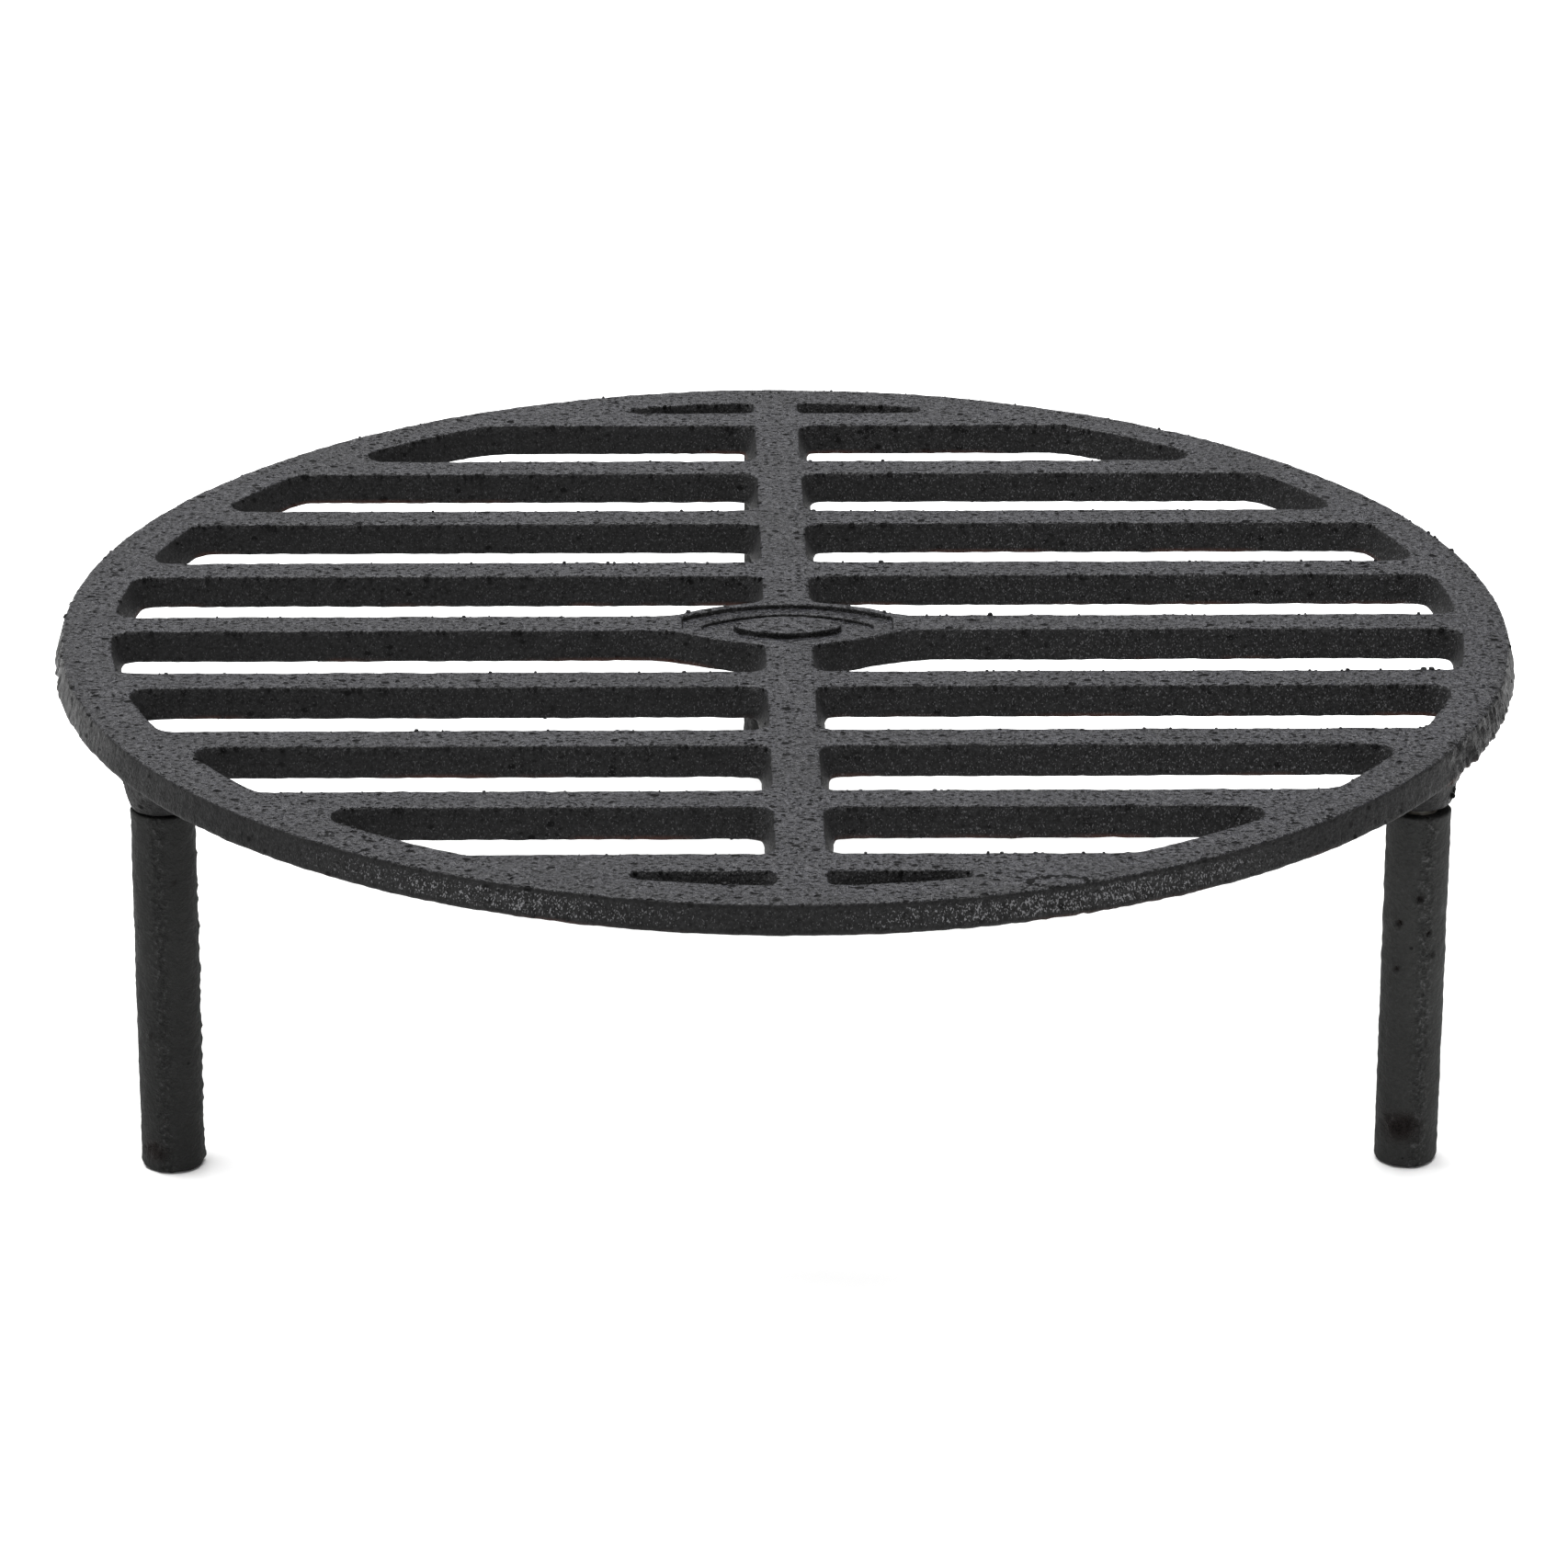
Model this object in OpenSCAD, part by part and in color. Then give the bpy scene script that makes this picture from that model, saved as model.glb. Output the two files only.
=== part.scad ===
// Round cast grate for an open fire, standing on three legs that screw into bosses under its rim.
// +Z is up, the origin is on the floor under the middle of the plate, and the spine runs along Y with one leg behind it.

/* [Plate] */
// Outside diameter of the rim along its lower edge
plate_d = 400; // [360:1:440]
// Thickness of the plate
plate_t = 7.5; // [6:0.1:10]
// Height of the top face above the floor
grate_h = 117.5; // [90:0.5:160]
// Width of the rim's flat top
rim_w = 12; // [9:0.5:18]
// How far the rim's outer wall leans out from top to bottom
rim_draft = 2; // [0.5:0.1:3]
// Radius along the rim's outer edges
rim_edge_r = 0.9; // [0.3:0.1:1.4]

/* [Bars] */
// Distance from the middle of one bar to the middle of the next
bar_pitch = 42.7; // [38:0.1:46]
// Width of a bar's flat top
bar_w = 11.1; // [8:0.1:14]
// Width of the spine's flat top
spine_w = 12.9; // [10:0.1:18]
// How far every slot wall leans in from top to bottom, so that the casting leaves its mould
wall_draft = 2.5; // [1:0.1:3]
// Corner radius of the slots along the spine, at the top face
spine_corner_r = 5; // [3.5:0.1:8]
// Corner radius of the slots along the rim, at the top face
rim_corner_r = 5.5; // [3.5:0.1:9]
// Corner radius inside the narrow slots at the front and the rear, at the top face
end_corner_r = 2.8; // [1.6:0.1:3.2]

/* [Medallion] */
// Width of the oval medallion across the centre bar
medallion_w = 33.2; // [28:0.1:40]
// Radius of its two long sides
medallion_side_r = 50; // [40:1:70]
// Radius of the flare where its sides run into the centre bar
medallion_flare_r = 12; // [8:0.5:18]
// Length of the recess in its face
recess_len = 58.6; // [48:0.1:60]
// Width of the lip round the recess
recess_lip = 2; // [1.2:0.1:3]
// Depth of the recess
recess_depth = 1.3; // [0.6:0.1:1.8]
// Width of the flat ledge between the recess's wall and the deeper oval inside it
ledge_w = 4.3; // [2.5:0.1:6]
// Length of the deeper oval
inner_len = 48; // [40:0.5:50]
// How much deeper the inner oval lies
ledge_drop = 0.9; // [0.4:0.1:1.4]
// Length of the raised oval in the middle
plaque_len = 29; // [20:0.5:34]
// Width of the raised oval
plaque_w = 12.8; // [9:0.2:16]
// Radius of the raised oval's long sides
plaque_side_r = 29; // [26:0.5:60]
// How far the raised oval's face lies under the top face
plaque_sink = 0.5; // [0.2:0.1:1.2]

/* [Legs] */
// Diameter of a leg
leg_d = 16.8; // [14:0.1:20]
// How far the middle of each leg stands in from the rim's lower edge
leg_inset = 9; // [9:0.5:20]
// Height of a boss under the plate
boss_h = 6.7; // [5:0.1:12]
// Diameter of a boss where the leg meets it
boss_d = 16.2; // [13:0.1:19]
// Diameter of a boss where it runs into the plate
boss_root_d = 20.6; // [18:0.1:26]
// Gap left between the front left leg and its boss
gap_front_left = 0.7; // [0.3:0.1:3]
// Gap left between the front right leg and its boss
gap_front_right = 2; // [0.3:0.1:3]
// Gap left between the rear leg and its boss
gap_rear = 1; // [0.3:0.1:3]
// Radius round the bottom of a leg
foot_r = 1.6; // [0.5:0.1:3]
// Radius round the top of a leg
leg_top_r = 0.6; // [0.3:0.1:1.5]

/* [Studs] */
// Outside diameter of the threaded studs
stud_d = 10; // [8:0.5:12]
// Radial clearance of a stud in its holes
stud_clearance = 0.05; // [0.02:0.01:0.1]
// How far a stud reaches into its boss
stud_reach = 11.25; // [8:0.25:11.5]
// How deep a stud sits in its leg, below the boss with no gap
stud_seat = 15; // [10:0.5:20]
// Bevel on both ends of a stud
stud_bevel = 1; // [0.5:0.1:1.5]

/* [Hidden] */
$fn = 96;

leg_angles = [210, 330, 90];
leg_gaps = [gap_front_left, gap_front_right, gap_rear];

plate_r = plate_d / 2;
rim_top_r = plate_r - rim_draft;
slot_r = rim_top_r - rim_w;
leg_circle_r = plate_r - leg_inset;
plate_z = grate_h - plate_t;
boss_z = plate_z - boss_h;
stud_top_z = boss_z + stud_reach;
stud_bottom_z = boss_z - stud_seat;

// The end slots lie between the last bars and the rim, and need at least this much room.
end_slot_min = 6;
bars_each_side = floor((slot_r - bar_w / 2 - end_slot_min) / bar_pitch);

// Where the medallion's long sides are centred, from the centre bar
medallion_off = medallion_side_r - medallion_w / 2;
recess_side_r = medallion_side_r - recess_lip;
recess_w = medallion_w - 2 * recess_lip;
inner_w = recess_w - 2 * ledge_w;
inner_side_r = (pow(inner_len, 2) + pow(inner_w, 2)) / (4 * inner_w);

// Corner cones are a touch wider than the corner that they round, so that they cut its walls cleanly.
cut_over = 1.008;
// How far the web in a corner reaches into the walls beside it
bury = 1.4 + wall_draft;
eps = 0.5;

// Wedge over an outline between the plate's two faces
module slab(outline)
  translate([0, 0, plate_z]) linear_extrude(plate_t) polygon(outline);

// Upright cone whose wall keeps the draft: r_top at the top face and gap less at the bottom
module drafted_cone(r_top, lean) {
  slope = lean / plate_t;
  translate([0, 0, plate_z - eps])
    cylinder(h = plate_t + 2 * eps, r1 = r_top - lean - slope * eps, r2 = r_top + slope * eps);
}

// Web that fills the corner at the far side of its outline and leaves a rounded, drafted wall round the centre
module corner_web(centre, r, outline)
  difference() {
    slab(outline);
    translate(centre) drafted_cone(r * cut_over, wall_draft);
  }

// Straight bar with drafted sides, w wide on top, along X
module drafted_bar(w, len) {
  foot = w / 2 + wall_draft;
  rotate([90, 0, 90])
    linear_extrude(len, center = true)
      polygon([[-foot, plate_z], [foot, plate_z], [w / 2, grate_h], [-w / 2, grate_h]]);
}

// Ring with a drafted wall on both sides and rounded outer edges
module rim() {
  r = rim_edge_r;
  rotate_extrude($fn = 180)
    union() {
      polygon([
        [slot_r - wall_draft, plate_z], [plate_r - r, plate_z], [plate_r - r, plate_z + r],
        [rim_top_r - r, grate_h - r], [rim_top_r - r, grate_h], [slot_r, grate_h]
      ]);
      polygon([
        [plate_r - r, plate_z + r], [plate_r, plate_z + r], [rim_top_r, grate_h - r], [rim_top_r - r, grate_h - r]
      ]);
      intersection() {
        translate([plate_r - r, plate_z + r]) circle(r, $fn = 32);
        translate([plate_r - r, plate_z]) square([r, r]);
      }
      intersection() {
        translate([rim_top_r - r, grate_h - r]) circle(r, $fn = 32);
        translate([rim_top_r - r, grate_h - r]) square([r, r]);
      }
    }
}

// All straight members, cut off inside the rim
module members()
  intersection() {
    translate([0, 0, plate_z - 1]) cylinder(h = plate_t + 2, r = rim_top_r - rim_w / 2, $fn = 180);
    union() {
      rotate([0, 0, 90]) drafted_bar(spine_w, plate_d);
      for (j = [-bars_each_side:bars_each_side])
        translate([0, j * bar_pitch, 0]) drafted_bar(bar_w, plate_d);
    }
  }

// Corner between the spine and a bar's wall at y, on the side where the slot lies towards +Y
module spine_web(y, r) {
  x = spine_w / 2;
  corner_web([x + r, y + r, 0], r, [[x - bury, y - bury], [x + r, y - bury], [x + r, y + r], [x - bury, y + r]]);
}

// Corner between a bar's wall at y and the rim, for a slot that lies towards +Y and away from the middle
module rim_web_near(y, r) {
  cy = y + r;
  cx = sqrt(pow(slot_r - r, 2) - cy * cy);
  out = (slot_r + bury) / (slot_r - r);
  deep = y - bury;
  corner_web([cx, cy, 0], r, [
    [cx, cy], [cx, deep], [sqrt(pow(slot_r + bury, 2) - deep * deep), deep], [cx * out, cy * out]
  ]);
}

// Corner between a bar's wall at y and the rim, for a slot that lies towards -Y and towards the middle
module rim_web_far(y, r) {
  cy = y - r;
  cx = sqrt(pow(slot_r - r, 2) - cy * cy);
  out = (slot_r + bury) / (slot_r - r);
  deep = y + bury;
  corner_web([cx, cy, 0], r, [
    [cx, cy], [cx * out, cy * out], [sqrt(pow(slot_r + bury, 2) - deep * deep), deep], [cx, deep]
  ]);
}

// Corner between the spine and the rim
module spine_rim_web(r) {
  x = spine_w / 2;
  cx = x + r;
  cy = sqrt(pow(slot_r - r, 2) - cx * cx);
  out = (slot_r + bury) / (slot_r - r);
  corner_web([cx, cy, 0], r, [[cx, cy], [cx * out, cy * out], [x - bury, slot_r + bury], [x - bury, cy]]);
}

// Corner between the spine and the medallion
module spine_medallion_web(r) {
  x = spine_w / 2;
  cx = x + r;
  reach = medallion_side_r + r;
  cy = sqrt(reach * reach - cx * cx) - medallion_off;
  back = (medallion_side_r - bury) / reach;
  corner_web([cx, cy, 0], r, [
    [cx, cy], [x - bury, cy], [x - bury, cy - 2 * r], [cx * back, (cy + medallion_off) * back - medallion_off]
  ]);
}

// Flare between the medallion and the centre bar
module flare_web(r) {
  y = bar_w / 2;
  cy = y + r;
  reach = medallion_side_r + r;
  cx = sqrt(reach * reach - pow(cy + medallion_off, 2));
  back = (medallion_side_r - bury) / reach;
  corner_web([cx, cy, 0], r, [
    [cx, cy], [cx * back, (cy + medallion_off) * back - medallion_off], [cx, y - bury]
  ]);
}

// Webs of the slots in one quarter of the plate
module quarter_webs() {
  half = bar_w / 2;
  last = bars_each_side * bar_pitch + half;
  for (j = [1:bars_each_side]) {
    y = j * bar_pitch;
    translate([0, 2 * (y - half), 0]) mirror([0, 1, 0]) spine_web(y - half, spine_corner_r);
    rim_web_far(y - half, rim_corner_r);
  }
  for (j = [0:bars_each_side - 1]) rim_web_near(j * bar_pitch + half, rim_corner_r);
  for (j = [1:bars_each_side - 1]) spine_web(j * bar_pitch + half, spine_corner_r);
  spine_web(last, end_corner_r);
  rim_web_near(last, end_corner_r);
  spine_rim_web(end_corner_r);
  spine_medallion_web(spine_corner_r);
  flare_web(medallion_flare_r);
}

// Two arcs that meet in points on the centre bar, with drafted sides
module medallion()
  intersection() {
    translate([0, medallion_off, 0]) medallion_side();
    translate([0, -medallion_off, 0]) medallion_side();
    translate([0, 0, grate_h - plate_t / 2]) cube([plate_r, medallion_w + bar_pitch, plate_t], center = true);
  }

module medallion_side()
  translate([0, 0, plate_z])
    cylinder(h = plate_t, r1 = medallion_side_r + wall_draft, r2 = medallion_side_r, $fn = 180);

// Oval between two arcs, with its ends cut blunt where len is shorter than the arcs reach
module oval(side_r, w, len, z, h)
  intersection() {
    translate([0, side_r - w / 2, z]) cylinder(h = h, r = side_r, $fn = 180);
    translate([0, w / 2 - side_r, z]) cylinder(h = h, r = side_r, $fn = 180);
    translate([0, 0, z + h / 2]) cube([len, w + 2, h + 2], center = true);
  }

// Recess with blunt ends, a deeper oval inside a ledge and a plain raised oval left standing in the middle
module recess()
  difference() {
    union() {
      oval(recess_side_r, recess_w, recess_len, grate_h - recess_depth, recess_depth + 1);
      oval(inner_side_r, inner_w, inner_len + 2, grate_h - recess_depth - ledge_drop, recess_depth + ledge_drop);
    }
    oval(plaque_side_r, plaque_w, plaque_len, grate_h - plate_t, plate_t - plaque_sink);
  }

// Boss under the rim, kept flush with the rim's lower edge
module boss(angle)
  intersection() {
    rotate([0, 0, angle]) translate([leg_circle_r, 0, boss_z])
      cylinder(h = boss_h + eps, d1 = boss_d, d2 = boss_root_d + eps * (boss_root_d - boss_d) / boss_h);
    translate([0, 0, boss_z - 1]) cylinder(h = boss_h + 2, r = plate_r - rim_edge_r / 2, $fn = 180);
  }

module stud_hole(angle)
  rotate([0, 0, angle]) translate([leg_circle_r, 0, boss_z - 1])
    cylinder(h = stud_reach + 1, d = stud_d + 2 * stud_clearance);

module grate_plate()
  color([0.20, 0.20, 0.22])
    difference() {
      union() {
        rim();
        members();
        medallion();
        for (mx = [0, 1])
          mirror([mx, 0, 0])
            for (my = [0, 1])
              mirror([0, my, 0]) quarter_webs();
        for (a = leg_angles) boss(a);
      }
      recess();
      for (a = leg_angles) stud_hole(a);
    }

// Round leg that stops its gap short of the boss, with a hole for its stud
module leg(i) {
  top = boss_z - leg_gaps[i];
  r = leg_d / 2;
  color([0.19, 0.19, 0.19])
    rotate([0, 0, leg_angles[i]]) translate([leg_circle_r, 0, 0])
      difference() {
        rotate_extrude()
          union() {
            square([r - foot_r, foot_r]);
            translate([0, foot_r]) square([r, top - foot_r - leg_top_r]);
            translate([0, top - leg_top_r]) square([r - leg_top_r, leg_top_r]);
            intersection() {
              translate([r - foot_r, foot_r]) circle(foot_r, $fn = 32);
              translate([r - foot_r, 0]) square(foot_r);
            }
            intersection() {
              translate([r - leg_top_r, top - leg_top_r]) circle(leg_top_r, $fn = 32);
              translate([r - leg_top_r, top - leg_top_r]) square(leg_top_r);
            }
          }
        translate([0, 0, stud_bottom_z]) cylinder(h = stud_seat + 1, d = stud_d + 2 * stud_clearance);
      }
}

// Plain stud with bevelled ends, standing on the bottom of the leg's hole
module stud(i)
  color([0.45, 0.45, 0.46])
    rotate([0, 0, leg_angles[i]]) translate([leg_circle_r, 0, stud_bottom_z])
      rotate_extrude()
        polygon([
          [0, 0], [stud_d / 2 - stud_bevel, 0], [stud_d / 2, stud_bevel],
          [stud_d / 2, stud_top_z - stud_bottom_z - stud_bevel],
          [stud_d / 2 - stud_bevel, stud_top_z - stud_bottom_z], [0, stud_top_z - stud_bottom_z]
        ]);

grate_plate();
leg(0);  // leg_front_left
leg(1);  // leg_front_right
leg(2);  // leg_rear
stud(0);  // stud_front_left
stud(1);  // stud_front_right
stud(2);  // stud_rear
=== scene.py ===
"""Looks of the round cast grate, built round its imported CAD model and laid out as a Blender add-on.

Lengths are in metres, in the frame of the CAD model: +Z is up and the floor is at 0.
"""

import math

import bpy
import numpy as np
from bpy.props import FloatProperty, FloatVectorProperty, IntProperty, PointerProperty
from mathutils import Matrix, Vector, geometry, kdtree, noise


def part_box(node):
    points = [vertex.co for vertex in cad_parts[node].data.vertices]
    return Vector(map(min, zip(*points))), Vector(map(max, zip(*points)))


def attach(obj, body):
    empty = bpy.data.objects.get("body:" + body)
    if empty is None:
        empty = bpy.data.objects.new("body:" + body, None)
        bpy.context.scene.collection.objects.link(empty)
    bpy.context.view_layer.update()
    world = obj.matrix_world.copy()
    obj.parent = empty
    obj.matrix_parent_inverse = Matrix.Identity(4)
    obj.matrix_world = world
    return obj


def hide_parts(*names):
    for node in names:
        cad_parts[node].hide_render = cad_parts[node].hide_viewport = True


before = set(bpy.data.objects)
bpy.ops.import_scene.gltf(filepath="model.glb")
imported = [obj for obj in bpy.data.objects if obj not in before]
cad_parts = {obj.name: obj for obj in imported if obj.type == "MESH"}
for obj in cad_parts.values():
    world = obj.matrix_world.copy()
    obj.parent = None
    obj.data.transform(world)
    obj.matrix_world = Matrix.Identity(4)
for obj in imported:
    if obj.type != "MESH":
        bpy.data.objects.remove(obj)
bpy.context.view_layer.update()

bl_info = {
    "name": "Round Cast Grate",
    "version": (1, 0, 0),
    "blender": (4, 5, 0),
    "location": "View3D > Sidebar > Grate",
    "description": "Round cast grate for an open fire, on three legs that screw into its rim",
    "category": "Add Mesh",
}

MM = 0.001
PLATE_LOW, PLATE_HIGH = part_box("grate_plate")
LEG_PLACES = ("front_left", "front_right", "rear")


def length(name, default, description):
    """Length in metres that the panel shows in the scene's units"""
    return FloatProperty(name=name, description=description, default=default, precision=5, unit="LENGTH")


def share(name, default, description, most=1.0):
    """Plain number from 0 to a most"""
    return FloatProperty(
        name=name, description=description, default=default, min=0.0, max=most, precision=3
    )


def colour(name, default, description):
    """Colour in linear light"""
    return FloatVectorProperty(
        name=name, description=description, default=default, size=3, min=0.0, max=1.0, subtype="COLOR"
    )


class PlateSizes(bpy.types.PropertyGroup):
    """Sizes of the cast plate and its slots"""

    radius: length("Radius", 0.200, "Outside radius of the rim along its lower edge")
    thickness: length("Thickness", 0.0077, "Thickness of the plate")
    rim_width: length("Rim width", 0.012, "Width of the rim's flat top")
    rim_lean: length("Rim lean", 0.002, "How far the rim's outer wall leans out from top to bottom")
    bar_pitch: length("Bar pitch", 0.0427, "Distance from the middle of one bar to the next")
    bar_width: length("Bar width", 0.0111, "Width of a bar's flat top")
    spine_width: length("Spine width", 0.0125, "Width of the spine's flat top")
    slot_lean: length("Slot lean", 0.0025, "How far a slot's walls lean in from top to bottom")
    spine_corner: length("Spine corners", 0.005, "Corner radius of the slots along the spine")
    rim_corner: length("Rim corners", 0.0055, "Corner radius of the slots along the rim")
    end_corner: length("End corners", 0.0028, "Corner radius of the narrow end slots along the spine")
    end_tip: length("End tips", 0.0025, "Corner radius of the narrow end slots along the rim")
    end_slot_min: length("End slot room", 0.006, "Least room for the narrow slots at both ends")
    core_shift: length("Core shift", 0.0007, "How far the grille stands to the right in the rim")
    top_edge: length("Top edge", 0.0003, "Radius along the upper edges")
    worn_edge: length("Worn edge", 0.0006, "Radius along the upper edges that face the front")
    worn_back: length("Wear", 0.00055, "How far the upper edges that face the front lie back")
    foot_edge: length("Lower edge", 0.00015, "Radius along the lower edges of the slots")
    rim_edge: length("Rim's edges", 0.0007, "Radius along the upper and lower edges of the rim")


class MedallionSizes(bpy.types.PropertyGroup):
    """Sizes of the oval medallion on the centre bar"""

    width: length("Width", 0.0332, "Width across the centre bar")
    side_radius: length("Side radius", 0.050, "Radius of the two long sides")
    flare: length("Flare", 0.012, "Radius of the flare into the centre bar")
    recess_length: length("Recess length", 0.0586, "Length of the recess in its face")
    lip: length("Lip", 0.002, "Width of the lip round the recess")
    recess_depth: length("Recess depth", 0.0013, "Depth of the recess")
    ledge: length("Ledge", 0.0043, "Width of the ledge round the deeper oval")
    inner_length: length("Inner length", 0.048, "Length of the deeper oval")
    inner_tip: length("Inner tips", 0.0036, "Radius of the deeper oval's ends")
    ledge_drop: length("Ledge drop", 0.0009, "How much deeper the inner oval lies")
    plaque_length: length("Plaque length", 0.029, "Length of the raised oval")
    plaque_width: length("Plaque width", 0.0128, "Width of the raised oval")
    plaque_tip: length("Plaque tips", 0.0032, "Radius of the raised oval's ends")
    plaque_sink: length("Plaque sink", 0.0005, "How far the raised oval lies under the top face")
    edge: length("Edges", 0.00035, "Radius along the medallion's inner edges")


class BossSizes(bpy.types.PropertyGroup):
    """Sizes of the bosses under the rim"""

    foot_radius: length("Foot radius", 0.0081, "Radius where the leg meets the boss")
    root_radius: length("Root radius", 0.0103, "Radius where the boss runs into the plate")
    fillet: length("Fillet", 0.0022, "Radius between the boss and the plate")
    outer_gap: length("Set-back", 0.00045, "How far the boss stays inside the rim's lower edge")
    hole_radius: length("Hole radius", 0.00505, "Radius of the threaded hole")
    hole_depth: length("Hole depth", 0.01125, "Depth of the threaded hole")


class LegSizes(bpy.types.PropertyGroup):
    """Sizes of the legs"""

    radius: length("Radius", 0.0085, "Radius at the top")
    taper: length("Taper", 0.00015, "How much thinner the foot is")
    top_edge: length("Top edge", 0.0006, "Radius round the top")
    foot_edge: length("Foot edge", 0.0016, "Radius round the foot")


class StudSizes(bpy.types.PropertyGroup):
    """Sizes of the threaded studs"""

    pitch: length("Pitch", 0.0015, "Pitch of the thread")
    groove: length("Groove", 0.00088, "Depth of the thread")
    bevel: length("Bevel", 0.001, "Bevel on both ends")


class CastFinish(bpy.types.PropertyGroup):
    """Finish of the painted castings"""

    # The upper face's paint is lighter than the walls': partly the paint's own tone, partly painted light
    # from above on the upper faces and painted shade on the walls
    top_paint_and_light: colour("Plate", (0.0125, 0.0125, 0.0150), "Paint on the plate's upper face")
    wall_paint_and_shade: colour("Walls", (0.0072, 0.0072, 0.0075), "Paint on the walls and the underside")
    leg_colour: colour("Legs", (0.0160, 0.0163, 0.0158), "Paint on the legs")
    # The pale specks are pale grains, and painted glints on the walls and along the legs' seams
    dust_and_glint_colour: colour("Dust", (0.150, 0.150, 0.156), "Pale grains in the paint")
    # Also darkens the legs' pits, as painted shade in their hollows, besides the broken skin
    scar_and_pit_shade_colour: colour("Pits", (0.003, 0.003, 0.003), "Pits and broken skin")
    rust_colour: colour("Rust", (0.050, 0.017, 0.010), "Rust along the lower edges")
    scar_colour: colour("Scars", (0.0075, 0.0045, 0.0040), "Broken skin on the legs")
    steel_colour: colour("Steel", (0.340, 0.330, 0.310), "Bare steel of the studs")
    dirt_colour: colour("Dirt", (0.100, 0.085, 0.070), "Dirt in the threads of the studs")
    skin: length("Skin", 0.00018, "Thickness of the paint and scale on the plate")
    wave: length("Wave", 0.00015, "Height of the broad waves in the casting's skin")
    ripple: length("Ripple", 0.00018, "Height of the fine waves in the casting's skin")
    scar_depth: length("Scar depth", 0.0013, "Depth of the broken skin where the casting was gated")
    grit: length("Grit", 0.00024, "Height of the sand grains that the upper faces keep")
    marks: IntProperty(name="Marks", description="Pits and pimples in the upper face", default=300, min=0)
    beads: IntProperty(name="Beads", description="Sand beads along the edges", default=2200, min=0)


class StudioSizes(bpy.types.PropertyGroup):
    """Floor, lights and camera"""

    floor: length("Floor", 14.0, "Side of the square floor")
    floor_colour: colour("Floor", (0.95, 0.95, 0.95), "Colour of the floor")
    sky: share("Sky", 0.30, "Strength of the light from all round", 5.0)
    sun: share("Sun", 6.3, "Strength of the light from above", 50.0)
    sun_width: share("Sun width", 60.0, "How wide the light from above is, in degrees", 180.0)
    lens: share("Lens", 162.59, "Focal length in millimetres, on a frame 36 mm wide", 1000.0)
    pitch: share("Pitch", 22.030, "How far the camera looks down, in degrees", 90.0)
    yaw: share("Yaw", 1.2237, "How far the camera looks to the right of +Y, in degrees", 90.0)
    roll: FloatProperty(
        name="Roll", description="Turn of the camera about its view, in degrees", default=-0.2618
    )
    camera: FloatVectorProperty(
        name="Camera",
        description="Place of the camera",
        default=(-0.0390, -1.8206, 0.8067),
        subtype="TRANSLATION",
    )


class GrateSettings(bpy.types.PropertyGroup):
    """Everything that the panel shows"""

    plate: PointerProperty(type=PlateSizes)
    medallion: PointerProperty(type=MedallionSizes)
    boss: PointerProperty(type=BossSizes)
    leg: PointerProperty(type=LegSizes)
    stud: PointerProperty(type=StudSizes)
    finish: PointerProperty(type=CastFinish)
    studio: PointerProperty(type=StudioSizes)


# Outlines

def towards(angle):
    """Step of 1 towards each angle"""
    return np.stack([np.cos(angle), np.sin(angle)], 1)


def round_way(count):
    """Evenly spread angles round a full turn, and a step of 1 towards each"""
    angle = math.tau * np.arange(count) / count
    return angle, towards(angle)


def straight(start, end, step):
    """Points along a wall and their normals, which point left of the way it runs"""
    start, end = np.array(start), np.array(end)
    along = end - start
    count = max(2, round(np.linalg.norm(along) / step))
    direction = along / np.linalg.norm(along)
    points = start + np.arange(count)[:, None] / count * along
    return points, np.tile((-direction[1], direction[0]), (count, 1))


def arc(centre, radius, start, end, step):
    """Points along an arc and their normals, which point left of the way it runs"""
    count = max(3, round(abs(end - start) * radius / step))
    angle = start + (end - start) * np.arange(count) / count
    out = towards(angle)
    return np.array(centre) + radius * out, -math.copysign(1.0, end - start) * out


def joined(runs):
    """One closed outline from its runs of points and normals"""
    return np.concatenate([run[0] for run in runs]), np.concatenate([run[1] for run in runs])


def both_halves(runs):
    """One closed outline from the runs of its first half, which a half turn repeats"""
    return joined(runs + [(-points, -normals) for points, normals in runs])


def circle(centre, radius, count):
    """Closed circle whose normals point to its middle"""
    return arc(centre, radius, 0.0, math.tau, math.tau * radius / count)


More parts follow.
